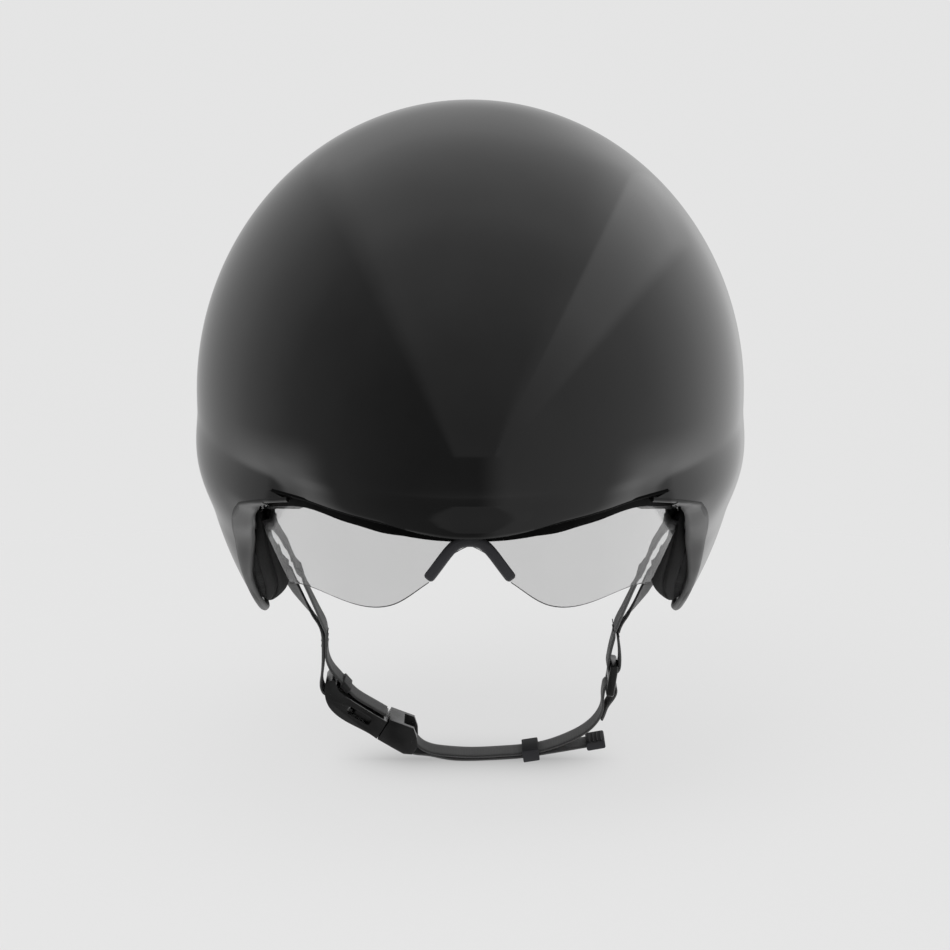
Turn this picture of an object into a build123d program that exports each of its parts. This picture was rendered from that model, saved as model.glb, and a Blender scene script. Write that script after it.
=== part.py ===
from build123d import *
import math
import os

# An aero time trial helmet: a smooth dome with ear covers and a cut-off tail, a foam liner,
# a clear visor on magnets, a dial-driven fit cradle, and straps with a curved buckle.
# The frame: +Z is up and -Y is the front. The origin is the centre of the wearer's head,
# on the middle plane, at the level where the shell is widest. Lengths are in millimetres.

# Shell: a dome of four ellipsoid quarters about one widest ring
shell_half_width = 108
shell_front_reach = 146
shell_rear_reach = 172
shell_crown = 113
shell_lower = 136
shell_station = 16
shell_wall = 2

# Brow: a flatter egg that stands out of the dome and leaves a crease over the eyes
brow_side_step = 0.8
brow_half_width = shell_half_width - brow_side_step
brow_reach = 147
brow_rise = 50
brow_drop = 48
brow_station = 15
brow_level = -20
brow_lean_angle = 7

# Cut-off tail
tail_station = 160
tail_lean_angle = 12

# Fits between pieces
bond_gap = 0.3
running_gap = 0.3
overrun = 20

# Foam liner and the head's cavity in it
liner_side_wall = 28
cavity_half_width = shell_half_width - liner_side_wall
cavity_reach = 101
cavity_crown = 88
cavity_lower = 190
liner_back = 131
trim_height = 3
port_width = 30
port_height = 14
port_spacing = 52
port_level = 14

# Comfort pads
pad_wall = 4
brow_pad_width = 112
brow_pad_height = 16
brow_pad_level = -5
crown_pad_width = 46
crown_pad_length = 112
crown_slot_width = 12
side_pad_length = 84
side_pad_height = 17
side_pad_station = 4
side_pad_level = 10
ear_pad_wall = 6

# Tail vent
vent_width = 82
vent_height = 40
vent_corner = 15
vent_level = 4
vent_depth = 10
vent_wall = 2
vent_flange = 3
fin_wall = 1.6
fin_pitch = 7.5
fin_count = 5

# Visor: a curved lens under a rail, as bands of one elliptical cylinder
visor_side_room = 22
visor_half_width = shell_half_width - visor_side_room
visor_reach = 106
visor_station = -14
lens_wall = 2
rail_wall = 4
rail_top = -19
rail_end_step = 8
rail_half_span = visor_half_width - rail_end_step
lens_tuck = 2
groove_gap = 0.2
bay_back = -41
lens_drop = 61
nose_width = 4.2
magnet_length = 8
magnet_wall = 2.4
magnet_height = 3
magnet_half_spacing = 42

# Fit system: arms from the temples, a cradle behind the head, and a dial with two racks
pivot_station = -36
pivot_level = -24
pivot_shaft = 5
pivot_socket = 12
pivot_head = 9
pivot_head_wall = 1.6
eye_inset = 7
arm_wall = 1.8
arm_eye = 14
arm_eye_wall = 2.4
arm_height = 12
arm_tip_height = 5
cradle_side_room = 7
cradle_half_width = cavity_half_width - cradle_side_room
cradle_reach = 82
cradle_wall = 2.4
cradle_width = 84
cradle_height = 31
cradle_corner = 13
cradle_window_width = 19
cradle_window_height = 13
cradle_pad_wall = 3
cradle_pad_width = 24
cradle_pad_height = 25
dial_level = -54
housing_width = 44
housing_height = 22
housing_corner = 6
housing_back = 92
rack_station = 86.6
rack_wall = 2.6
rack_back_height = 2.4
rack_length = 30
rack_lead = 4
pinion_teeth = 10
pinion_pitch_radius = 4
tooth_addendum = 0.7
tooth_dedendum = 1
tooth_root_width = 1.1
tooth_tip_width = 0.5
stem_size = 3
dial_radius = 11
dial_depth = 7.5
grip_wall = 2.6
grip_notch = 1.6
grip_notches = 20
bay_lift = 14
bay_clearance = 4

# Straps
web_width = 15
web_wall = 1
layer_gap = 0.2
strap_half_span = 57.7
strap_station = -2
chin_drop = 145.5
junction_top = 94
junction_bottom_left = 104.5
junction_bottom_right = 96
front_anchor_depth = 31
front_anchor_reach = shell_half_width - front_anchor_depth
front_anchor_station = -38
front_anchor_level = -38.5
rear_anchor_depth = 18
rear_anchor_reach = shell_half_width - rear_anchor_depth
rear_anchor_station = 36
rear_anchor_level = -56
anchor_width = 19
anchor_wall = 4
anchor_length = 6
anchor_slot_depth = 3
anchor_seat = 9

# Buckle, in its own view: along its axis from the mouth, and square to that
buckle_mouth_x = -34.65
buckle_mouth_z = -132.5
buckle_angle = -32
buckle_width = 21.6
socket_length = 28.8
socket_height = 8.1
socket_bore_depth = 16
socket_bore_width = 17.2
socket_bore_height = 3.4
socket_window_length = 10.5
socket_window_height = 3
socket_slot = 2.3
socket_slot_lean = 20.8
plug_gap = 0.4
plug_length = 15.6
guide_width = 4.4
guide_length = 14.5
arm_finger_length = 13.5
arm_finger_width = 2.4
plug_slot_start = 6.3
plug_bar_height = 3.4

# Strap hardware
keeper_length = 6.5
keeper_wall = 0.9
keeper_side_wall = 1.6
tip_length = 7.5
tip_wall = 0.8
slider_x = 55.3
slider_z = -118.3
slider_angle = 81.3
slider_width = 20.4
slider_wall = 3.2
slider_bar = 2.6
slider_slot = 2.4
elastic_length = 4.2
elastic_wall = 0.6

# Outlines in the side view, as shares of the dome's reach and depth
brow_edge_shares = ((-1.14, 0.300), (-1.003, 0.238), (-0.953, 0.205), (-0.905, 0.190),
                    (-0.862, 0.180), (-0.800, 0.167), (-0.723, 0.159))
tongue_shares = ((-0.760, 0.176), (-0.6815, 0.197), (-0.599, 0.2206))
ear_edge_shares = ((-0.599, 0.2206), (-0.520, 0.280), (-0.440, 0.344), (-0.389, 0.402),
                   (-0.246, 0.551), (-0.082, 0.638), (0.035, 0.608), (0.169, 0.500),
                   (0.372, 0.404), (0.576, 0.346), (1.070, 0.220))
liner_edge_shares = ((-1.14, 0.275), (-0.986, 0.221), (-0.918, 0.188), (-0.849, 0.169),
                     (-0.781, 0.157), (-0.712, 0.152), (-0.596, 0.206), (-0.500, 0.257))
liner_side_shares = ((-0.44, 0.265), (0.169, 0.265))
liner_rear_shares = ((0.169, 0.265), (0.256, 0.309), (0.372, 0.390), (0.576, 0.336), (1.070, 0.210))
ear_pad_shares = ((-0.500, 0.288), (-0.420, 0.349), (-0.363, 0.412), (-0.225, 0.552), (-0.082, 0.610),
                  (0.006, 0.572), (0.034, 0.485), (0.040, 0.385), (0.040, 0.284))

# Outlines in the front view, as shares of the visor's half width and of the lens's drop
rail_edge_shares = ((0, 0.567), (0.276, 0.549), (0.405, 0.521), (0.557, 0.480), (0.683, 0.459),
                    (0.785, 0.477), (0.874, 0.523))
lens_side_shares = ((0.874, 0.523), (0.926, 0.640), (0.888, 0.726), (0.843, 0.825), (0.779, 0.964))
lens_foot_shares = ((0.779, 0.964), (0.726, 0.948), (0.630, 0.961), (0.495, 1.000), (0.381, 1.000),
                    (0.313, 0.969), (0.250, 0.911), (0.172, 0.826))
nose_edge_shares = ((0.172, 0.826), (0.060, 0.640), (0, 0.597))
nose_leg_shares = ((0.172, 0.826), (0.033, 0.580))

# Plan route of a fit arm, as shares of the cradle's half width and reach
arm_route_shares = ((0.920, -0.500), (0.980, -0.060), (0.965, 0.340), (0.822, 0.730),
                    (0.610, 0.930), (0.460, 1.030))

# Buckle outlines, as shares of the socket's length and height, or the plug's length and height
socket_foot_shares = ((0, -0.58), (-0.325, -0.593), (-0.655, -0.593), (-0.799, -0.432),
                      (-0.958, 0.111), (-0.998, 0.400))
socket_top_shares = ((-0.993, 0.543), (-0.910, 0.765), (-0.850, 0.605), (-0.760, 0.480),
                     (-0.580, 0.410), (-0.420, 0.398), (-0.210, 0.400), (0, 0.420))
plug_shares = ((0.026, -0.58), (0.520, -0.56), (0.790, -0.535), (0.975, -0.350), (1.000, 0.100),
               (0.860, 0.500), (0.660, 0.820), (0.038, 0.580))
socket_slot_share = (-0.862, 0.165)
plug_bar_share = (0.865, -0.150)

# Strap routes in the front view, as shares of the straps' half span and the chin's drop
chin_start_shares = ((-0.466, 0.954), (-0.447, 0.9455), (-0.422, 0.9437), (-0.385, 0.953), (-0.349, 0.969))
double_shares = ((-0.295, 0.982), (-0.175, 0.9915), (0, 0.9958), (0.204, 0.9925), (0.355, 0.988),
                 (0.478, 0.9805))
chin_end_shares = ((0.667, 0.955), (0.801, 0.925), (0.884, 0.889), (0.912, 0.856), (0.911, 0.832),
                   (0.917, 0.814), (0.928, 0.799), (0.965, 0.795), (0.998, 0.803), (0.999, 0.819),
                   (0.971, 0.839), (0.939, 0.858), (0.920, 0.878), (0.903, 0.893))
tail_start_shares = ((-0.486, 0.965), (-0.462, 0.976), (-0.410, 0.9845), (-0.355, 0.988))
loose_shares = ((0.695, 0.9739), (0.821, 0.965))
buckle_tail_shares = ((-0.9567, 0.7526), (-0.908, 0.776), (-0.856, 0.8007), (-0.804, 0.8241),
                      (-0.693, 0.8536), (-0.579, 0.8804))
socket_wrap_shares = ((-1.020, 0.770), (-1.020, 0.808), (-0.995, 0.8215), (-0.940, 0.8075))
slider_wrap_shares = ((0.960, 0.7045), (0.9450, 0.739), (0.945, 0.755), (0.978, 0.7625), (1.0151, 0.759),
                      (1.026, 0.744), (1.028, 0.720), (1.023, 0.694), (1.012, 0.662))


def egg(half_width, front, rear, crown, lower, station, level):
    """Returns a closed egg made of four ellipsoid quarters."""
    with BuildPart() as shape:
        for depth, turn in ((rear, 0), (front, 180)):
            for height, low, high in ((crown, 0, 90), (lower, -90, 0)):
                quarter = Sphere(1, arc_size1=low, arc_size2=high, arc_size3=180,
                                 align=None, mode=Mode.PRIVATE)
                quarter = scale(quarter, by=(half_width, depth, height), mode=Mode.PRIVATE)
                add(Pos(0, station, level) * Rotation(0, 0, turn) * quarter)
    return shape.part


def dome(inset):
    """Returns the dome, drawn in all round by the inset."""
    return egg(shell_half_width - inset, shell_front_reach - inset, shell_rear_reach - inset,
               shell_crown - inset, shell_lower - inset, shell_station, 0)


def cavity(inset):
    """Returns the head's cavity, drawn in all round by the inset."""
    return egg(cavity_half_width - inset, cavity_reach - inset, cavity_reach - inset,
               cavity_crown - inset, cavity_lower - inset, 0, 0)


def on_side(share, lift=0):
    """Returns a place in the side view from its shares of the dome's reach and depth."""
    reach = shell_front_reach if share[0] < 0 else shell_rear_reach
    return (shell_station + reach * share[0], lift - shell_lower * share[1])


def on_side_all(shares, lift=0):
    """Returns the side-view places of a table of shares."""
    return [on_side(share, lift) for share in shares]


def on_front(share, side=1, lift=0):
    """Returns a place in the front view from its shares of the visor's size."""
    return (side * visor_half_width * share[0], lift - lens_drop * share[1])


def on_front_all(shares, side, lift=0):
    """Returns the front-view places of a table of shares."""
    return [on_front(share, side, lift) for share in shares]


def on_strap(share):
    """Returns a place in the straps' plane from its shares of their span and drop."""
    return (strap_half_span * share[0], -chin_drop * share[1])


def tail_plane_at(inset):
    """Returns the plane of the cut-off tail, moved forward by the inset."""
    lean = math.radians(tail_lean_angle)
    normal = (0, math.cos(lean), -math.sin(lean))
    return Plane(origin=(0, tail_station, 0), x_dir=(-1, 0, 0), z_dir=normal).offset(-inset)


def under_shell():
    """Returns the solid under the shell's lower edge, with the slot at each end of the brow."""
    deep = -shell_lower - overrun
    with BuildPart() as region:
        with BuildSketch(Plane.YZ):
            with BuildLine():
                brow = Spline(*on_side_all(brow_edge_shares))
                Polyline(brow @ 1, *on_side_all(tongue_shares))
                ear = Spline(*on_side_all(ear_edge_shares))
                Polyline(ear @ 1, ((ear @ 1).X, deep), ((brow @ 0).X, deep), brow @ 0)
            make_face()
        extrude(amount=shell_half_width + overrun, both=True)
    return region.part


def under_liner(lift):
    """Returns the solid under the liner's lower edge, raised by the lift."""
    deep = -shell_lower - overrun
    with BuildPart() as region:
        with BuildSketch(Plane.YZ):
            with BuildLine():
                brow = Spline(*on_side_all(liner_edge_shares, lift))
                rear = Spline(*on_side_all(liner_rear_shares, lift))
                Polyline(brow @ 1, *on_side_all(liner_side_shares, lift))
                Polyline(rear @ 1, ((rear @ 1).X, deep), ((brow @ 0).X, deep), brow @ 0)
            make_face()
        extrude(amount=shell_half_width + overrun, both=True)
    return region.part


def visor_ring(inset, wall, low, high):
    """Returns a band of the visor's elliptical cylinder, its outer face drawn in by the inset."""
    with BuildPart() as ring:
        with BuildSketch(Plane.XY.offset(low)):
            with Locations((0, visor_station)):
                Ellipse(visor_half_width - inset, visor_reach - inset)
                Ellipse(visor_half_width - inset - wall, visor_reach - inset - wall,
                        mode=Mode.SUBTRACT)
        extrude(amount=high - low)
        split(bisect_by=Plane.XZ.offset(-visor_station), keep=Keep.TOP)
    return ring.part


def lens_face(tuck):
    """Returns the solid in front of the lens, its top raised by the tuck under the rail."""
    with BuildPart() as region:
        with BuildSketch(Plane.XZ):
            for side in (1, -1):
                with BuildLine():
                    top = Spline(*on_front_all(rail_edge_shares, side, tuck))
                    end = Spline(*on_front_all(lens_side_shares, side))
                    foot = Spline(*on_front_all(lens_foot_shares, side))
                    nose = Spline(*on_front_all(nose_edge_shares, side))
                    Line(top @ 1, end @ 0)
                    Line(nose @ 1, top @ 0)
                make_face()
        extrude(amount=visor_reach - visor_station + overrun)
    return region.part


def rail_face(low, high):
    """Returns the solid in front of the face from the rail's lower edge, lifted, to a level."""
    with BuildPart() as region:
        with BuildSketch(Plane.XZ):
            for side in (1, -1):
                with BuildLine():
                    edge = Spline(*on_front_all(rail_edge_shares, side, low))
                    end_x = side * rail_half_span
                    Polyline(edge @ 1, (end_x, (edge @ 1).Y), (end_x, high), (0, high), edge @ 0)
                make_face()
        extrude(amount=visor_reach - visor_station + overrun)
    return region.part


def nose_legs(width):
    """Returns the solid in front of the nose guard's two legs."""
    with BuildPart() as region:
        with BuildSketch(Plane.XZ):
            for side in (1, -1):
                with BuildLine(mode=Mode.PRIVATE) as leg:
                    Line(*on_front_all(nose_leg_shares, side))
                SlotArc(leg.edge(), width)
        extrude(amount=visor_reach - visor_station + overrun)
    return region.part


def visor_bay():
    """Returns the room that the liner leaves in front for the visor's rail."""
    inset = rail_wall - (rail_wall - lens_wall) / 2 + running_gap
    with BuildPart() as bay:
        with BuildSketch(Plane.XY.offset(rail_top + running_gap)):
            with Locations((0, bay_back)):
                Rectangle(2 * (shell_half_width + overrun), shell_front_reach + overrun,
                          align=(Align.CENTER, Align.MAX))
            with Locations((0, visor_station)):
                Ellipse(visor_half_width - inset, visor_reach - inset, mode=Mode.SUBTRACT)
        extrude(amount=-shell_lower)
    return bay.part


def dial_bay():
    """Returns the room that the liner leaves behind the head for the dial and its tilt."""
    with BuildPart() as bay:
        with BuildSketch(Plane.XY.offset(dial_level + dial_radius + grip_wall + bay_lift)):
            with Locations((0, housing_back - overrun)):
                RectangleRounded(housing_width + 2 * grip_wall, 2 * (overrun + dial_depth + bay_clearance),
                                 housing_corner)
        extrude(amount=-shell_lower)
    return bay.part


def magnet_planes(level):
    """Returns the planes of the three magnets round the rail, facing up at the level."""
    inset = lens_wall / 2
    half_width = visor_half_width - inset
    reach = visor_reach - inset
    planes = []
    for x in (-magnet_half_spacing, 0, magnet_half_spacing):
        root = math.sqrt(1 - (x / half_width) ** 2)
        slope = reach * x / (half_width ** 2 * root)
        planes.append(Plane(origin=(x, visor_station - reach * root, level), x_dir=(1, slope, 0),
                            z_dir=(0, 0, 1)))
    return planes


def magnets(level, growth):
    """Returns three upright magnets above the level, or their pockets when they have a growth."""
    with BuildPart() as blocks:
        for plane in magnet_planes(level):
            with BuildSketch(plane):
                Rectangle(magnet_length + 2 * growth, magnet_wall + 2 * growth)
        extrude(amount=magnet_height + growth)
    return blocks.part


# Straps: webs that hang from four anchors, cross and are sewn beside the jaw, and go on to the chin
layer_step = web_wall + layer_gap
strap_plane = Plane.XZ.offset(-strap_station)


def web_planes(side, reach, station, level, junction_x, junction_bottom):
    """Returns the planes across a hanging web, from its anchor to the foot of the junction."""
    top = Vector(side * reach, station, -level)
    meet = Vector(side * junction_x, strap_station, -junction_top)
    foot = Vector(side * junction_x, strap_station, -junction_bottom)
    down = (meet - top).normalized()
    mouth = top + down * anchor_length
    places = ((top, down), (mouth, down), (meet, Vector(0, 0, -1)), (foot, Vector(0, 0, -1)))
    return [Plane(origin=place, x_dir=along.cross(Vector(1, 0, 0)), z_dir=along)
            for place, along in places]


def hanging_web(planes):
    """Returns a flat web lofted through rectangles on its planes."""
    with BuildPart() as web:
        for plane in planes:
            with BuildSketch(plane):
                Rectangle(web_width, web_wall)
        loft(ruled=True)
    return web.part


def flat_web(points):
    """Returns a web that keeps its width across the view and follows front-view points."""
    with BuildPart() as web:
        with BuildSketch(strap_plane):
            with BuildLine():
                Spline(*points)
            trace(line_width=web_wall)
        extrude(amount=web_width / 2, both=True)
    return web.part


def strap_points(shares, drop=0):
    """Returns the front-view places of a table of strap shares, lowered by the drop."""
    return [(on_strap(share)[0], on_strap(share)[1] - drop) for share in shares]


# Shapes that several pieces are cut with
liner_outer = dome(shell_wall + bond_gap)
head_cavity = cavity(0)
visor_room = visor_bay()
dial_room = dial_bay()
inner_x = strap_half_span - layer_step / 2
outer_x = strap_half_span + layer_step / 2
front_anchor = (front_anchor_reach, front_anchor_station, -front_anchor_level)
rear_anchor = (rear_anchor_reach, rear_anchor_station, -rear_anchor_level)
front_planes_left = web_planes(-1, *front_anchor, inner_x, junction_bottom_left)
front_planes_right = web_planes(1, *front_anchor, inner_x, junction_bottom_right)
rear_planes_left = web_planes(-1, *rear_anchor, outer_x, junction_bottom_left)
rear_planes_right = web_planes(1, *rear_anchor, outer_x, junction_bottom_right)


def anchor_blocks(growth):
    """Returns the four anchors as plain blocks, or their pockets when they have a growth."""
    with BuildPart() as blocks:
        for planes, seats in ((front_planes_left, ()), (front_planes_right, ()),
                              (rear_planes_left, (1,)), (rear_planes_right, (-1,))):
            with BuildSketch(planes[0].offset(anchor_slot_depth - anchor_length - growth)):
                RectangleRounded(anchor_width + 2 * growth, anchor_wall + 2 * growth, anchor_wall / 3)
                for outward in seats:
                    with Locations((0, outward * anchor_seat / 2)):
                        Rectangle(anchor_width, anchor_seat)
            extrude(amount=anchor_length + 2 * growth)
        add(liner_outer, mode=Mode.INTERSECT)
    return blocks.part


anchor_pockets = anchor_blocks(bond_gap)

# Outer shell
with BuildPart() as shell_hollow:
    add(dome(shell_wall))
    split(bisect_by=tail_plane_at(shell_wall), keep=Keep.BOTTOM)

with BuildPart() as outer_shell:
    add(dome(0))
    add(Pos(0, brow_station, brow_level) * Rotation(brow_lean_angle, 0, 0)
        * egg(brow_half_width, brow_reach, brow_reach, brow_rise, brow_drop, 0, 0))
    split(bisect_by=tail_plane_at(0), keep=Keep.BOTTOM)
    add(shell_hollow.part, mode=Mode.SUBTRACT)
    add(under_shell(), mode=Mode.SUBTRACT)
    with BuildSketch(tail_plane_at(0)):
        with Locations((0, vent_level)):
            RectangleRounded(vent_width, vent_height, vent_corner)
    extrude(amount=-shell_wall - overrun, mode=Mode.SUBTRACT)

# Foam liner, with the visor's bay, the exhaust ports and the pockets that it carries
pivot_x = cavity_half_width * math.sqrt(1 - (pivot_station / cavity_reach) ** 2
                                        - (pivot_level / cavity_lower) ** 2)
with BuildPart() as foam_liner:
    add(liner_outer)
    split(bisect_by=Plane.XZ.offset(-liner_back), keep=Keep.TOP)
    add(head_cavity, mode=Mode.SUBTRACT)
    add(under_liner(trim_height), mode=Mode.SUBTRACT)
    add(visor_room, mode=Mode.SUBTRACT)
    add(anchor_pockets, mode=Mode.SUBTRACT)
    add(magnets(rail_top + running_gap, bond_gap), mode=Mode.SUBTRACT)
    with BuildSketch(Plane.XZ.offset(-liner_back - overrun)):
        with GridLocations(port_spacing, 0, 2, 1):
            with Locations((0, port_level)):
                SlotOverall(port_width, port_height)
    extrude(amount=liner_back + overrun, mode=Mode.SUBTRACT)
    with BuildSketch(Plane.YZ):
        with Locations((pivot_station, pivot_level)):
            Circle(pivot_socket / 2 + bond_gap)
    extrude(amount=cavity_half_width, both=True, mode=Mode.SUBTRACT)
    add(dial_room, mode=Mode.SUBTRACT)

# Lower trim: a moulded rim along the liner's lower edge
with BuildPart() as lower_trim:
    add(liner_outer)
    split(bisect_by=Plane.XZ.offset(-liner_back), keep=Keep.TOP)
    add(head_cavity, mode=Mode.SUBTRACT)
    add(under_liner(trim_height - bond_gap), mode=Mode.INTERSECT)
    add(under_liner(0), mode=Mode.SUBTRACT)
    add(visor_room, mode=Mode.SUBTRACT)
    add(anchor_pockets, mode=Mode.SUBTRACT)
    add(magnets(rail_top + running_gap, bond_gap), mode=Mode.SUBTRACT)
    add(dial_room, mode=Mode.SUBTRACT)

# Tail vent: a rim, a flange behind the shell's panel, and level fins with one upright rib
vent_bore_width = vent_width - 2 * (bond_gap + vent_wall)
vent_bore_height = vent_height - 2 * (bond_gap + vent_wall)
vent_bore_corner = vent_corner - bond_gap - vent_wall
with BuildPart() as tail_vent:
    with BuildSketch(tail_plane_at(0)):
        with Locations((0, vent_level)):
            RectangleRounded(vent_width - 2 * bond_gap, vent_height - 2 * bond_gap, vent_corner - bond_gap)
            RectangleRounded(vent_bore_width, vent_bore_height, vent_bore_corner,
                             mode=Mode.SUBTRACT)
    extrude(amount=-vent_depth)
    with BuildSketch(tail_plane_at(shell_wall + bond_gap)):
        with Locations((0, vent_level)):
            RectangleRounded(vent_width + 2 * vent_flange, vent_height + 2 * vent_flange,
                             vent_corner + vent_flange)
            RectangleRounded(vent_bore_width, vent_bore_height, vent_bore_corner,
                             mode=Mode.SUBTRACT)
    extrude(amount=-vent_wall)
    with BuildSketch(tail_plane_at(vent_wall)):
        with Locations((0, vent_level)):
            with GridLocations(0, fin_pitch, 1, fin_count):
                Rectangle(vent_width, fin_wall)
            Rectangle(fin_wall, vent_height)
            RectangleRounded(vent_width - 2 * bond_gap - vent_wall, vent_height - 2 * bond_gap - vent_wall,
                             vent_corner - bond_gap - vent_wall / 2, mode=Mode.INTERSECT)
    extrude(amount=vent_wall - vent_depth)

# Comfort pads, cut out of two thin layers that follow the cavity and the shell
with BuildPart() as cavity_layer:
    add(cavity(bond_gap))
    add(cavity(bond_gap + pad_wall), mode=Mode.SUBTRACT)

with BuildPart() as brow_pad:
    with BuildSketch(Plane.XZ):
        with Locations((0, brow_pad_level)):
            RectangleRounded(brow_pad_width, brow_pad_height, brow_pad_height / 3)
    extrude(amount=cavity_reach)
    add(cavity_layer.part, mode=Mode.INTERSECT)

with BuildPart() as crown_pad:
    with BuildSketch(Plane.XY):
        RectangleRounded(crown_pad_width, crown_pad_length, crown_pad_width / 3)
        with GridLocations(0, crown_pad_length / 2, 1, 2):
            SlotOverall(crown_pad_length / 3, crown_slot_width, rotation=90, mode=Mode.SUBTRACT)
    extrude(amount=cavity_crown)
    add(cavity_layer.part, mode=Mode.INTERSECT)

with BuildPart() as side_pads:
    with BuildSketch(Plane.YZ):
        with Locations((side_pad_station, side_pad_level)):
            RectangleRounded(side_pad_length, side_pad_height, side_pad_height / 3)
    extrude(amount=cavity_half_width, both=True)
    add(cavity_layer.part, mode=Mode.INTERSECT)

with BuildPart() as ear_pad_left:
    with BuildSketch(Plane.YZ):
        with BuildLine():
            pad_foot = Spline(*on_side_all(ear_pad_shares))
            Line(pad_foot @ 1, pad_foot @ 0)
        make_face()
    extrude(amount=-shell_half_width)
    add(liner_outer, mode=Mode.INTERSECT)
    add(dome(shell_wall + bond_gap + ear_pad_wall), mode=Mode.SUBTRACT)

with BuildPart() as ear_pad_right:
    mirror(ear_pad_left.part, about=Plane.YZ)

# Visor: the lens, the rail that grips its top, and the rubber guard round the nose
rail_inset = (lens_wall - rail_wall) / 2
groove = visor_ring(-groove_gap, lens_wall + 2 * groove_gap, -shell_lower, rail_top)
rail_ring = visor_ring(rail_inset, rail_wall, -shell_lower, rail_top)
rail_region = rail_face(0, rail_top)

with BuildPart() as visor_lens:
    add(visor_ring(0, lens_wall, -shell_lower, rail_top))
    add(lens_face(lens_tuck), mode=Mode.INTERSECT)

with BuildPart() as rail_groove:
    add(groove)
    add(rail_face(lens_tuck + groove_gap, rail_top + overrun), mode=Mode.SUBTRACT)

with BuildPart() as visor_rail:
    add(rail_ring)
    add(rail_region, mode=Mode.INTERSECT)
    add(rail_groove.part, mode=Mode.SUBTRACT)
    add(magnets(rail_top - magnet_height, groove_gap), mode=Mode.SUBTRACT)

with BuildPart() as guard_groove:
    add(groove)
    add(lens_face(lens_tuck), mode=Mode.INTERSECT)

with BuildPart() as nose_guard:
    add(rail_ring)
    add(nose_legs(nose_width), mode=Mode.INTERSECT)
    add(rail_region, mode=Mode.SUBTRACT)
    add(guard_groove.part, mode=Mode.SUBTRACT)

with BuildPart() as visor_magnets:
    add(magnets(rail_top - magnet_height, 0))

with BuildPart() as brow_magnets:
    add(magnets(rail_top + running_gap, 0))

# Fit system: pivots, two arms, and the cradle with its housing, racks, pinion and dial
rack_level_left = dial_level + pinion_pitch_radius + tooth_dedendum + rack_back_height / 2
rack_level_right = dial_level - pinion_pitch_radius - tooth_dedendum - rack_back_height / 2
rack_half_span = rack_length - rack_lead
tooth_pitch = 2 * math.pi * pinion_pitch_radius / pinion_teeth
eye_x = pivot_x - eye_inset


def cradle_ring(inset, wall):
    """Returns a band that follows the back of the head, its outer face drawn in by the inset."""
    with BuildPart() as ring:
        with BuildSketch(Plane.XY.offset(dial_level)):
            Ellipse(cradle_half_width - inset, cradle_reach - inset)
            Ellipse(cradle_half_width - inset - wall, cradle_reach - inset - wall, mode=Mode.SUBTRACT)
        extrude(amount=cradle_height, both=True)
        split(bisect_by=Plane.XZ, keep=Keep.BOTTOM)
    return ring.part


def fit_arm(side, tip_level):
    """Returns one arm: a strip that follows the head from its eye to a rack at the tip's level."""
    with BuildPart() as arm:
        with BuildSketch(Plane.XY.offset(dial_level - arm_height)):
            with BuildLine():
                Spline(*[(side * cradle_half_width * x, cradle_reach * y) for x, y in arm_route_shares],
                       (side * (rack_half_span + running_gap), rack_station))
            trace(line_width=arm_wall)
        extrude(amount=pivot_level + arm_eye - dial_level + arm_height)
        with BuildSketch(Plane.YZ):
            with BuildLine():
                Polyline((pivot_station, pivot_level + arm_height / 2),
                         (rack_station - arm_eye, tip_level + arm_tip_height / 2),
                         (rack_station + arm_wall, tip_level + arm_tip_height / 2),
                         (rack_station + arm_wall, tip_level - arm_tip_height / 2),
                         (rack_station - arm_eye, tip_level - arm_tip_height / 2),
                         (pivot_station, pivot_level - arm_height / 2), close=True)
            make_face()
            with Locations((pivot_station, pivot_level)):
                Circle(arm_eye / 2)
        extrude(amount=cradle_half_width, both=True, mode=Mode.INTERSECT)
        with BuildSketch(Plane.YZ.offset(side * eye_x)):
            with Locations((pivot_station, pivot_level)):
                Circle(arm_eye / 2)
        extrude(amount=side * arm_eye_wall)
        with BuildSketch(Plane.YZ):
            with Locations((pivot_station, pivot_level)):
                Circle(pivot_shaft / 2 + running_gap)
        extrude(amount=side * cavity_half_width, mode=Mode.SUBTRACT)
        with BuildSketch(Plane.YZ):
            with Locations((pivot_station, pivot_level)):
                Circle(pivot_head / 2 + running_gap)
        extrude(amount=side * eye_x, mode=Mode.SUBTRACT)
        with BuildSketch(Plane.YZ.offset(side * (eye_x + arm_eye_wall))):
            with Locations((pivot_station, pivot_level)):
                Circle(pivot_socket / 2 + running_gap)
        extrude(amount=side * arm_eye, mode=Mode.SUBTRACT)
    return arm.part


with BuildPart() as band_pivots:
    for side in (1, -1):
        with BuildSketch(Plane.YZ.offset(side * (eye_x - running_gap - pivot_head_wall))):
            with Locations((pivot_station, pivot_level)):
                Circle(pivot_head / 2)
        extrude(amount=side * pivot_head_wall)
        with BuildSketch(Plane.YZ.offset(side * (eye_x - running_gap))):
            with Locations((pivot_station, pivot_level)):
                Circle(pivot_shaft / 2)
        extrude(amount=side * (pivot_x - eye_x + running_gap))
        with BuildSketch(Plane.YZ.offset(side * (eye_x + arm_eye_wall + running_gap))):
            with Locations((pivot_station, pivot_level)):
                Circle(pivot_socket / 2)
        extrude(amount=side * (cavity_half_width - eye_x - arm_eye_wall - 2 * running_gap))

with BuildPart() as band_arm_left:
    add(fit_arm(-1, rack_level_left))

with BuildPart() as band_arm_right:
    add(fit_arm(1, rack_level_right))

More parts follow.
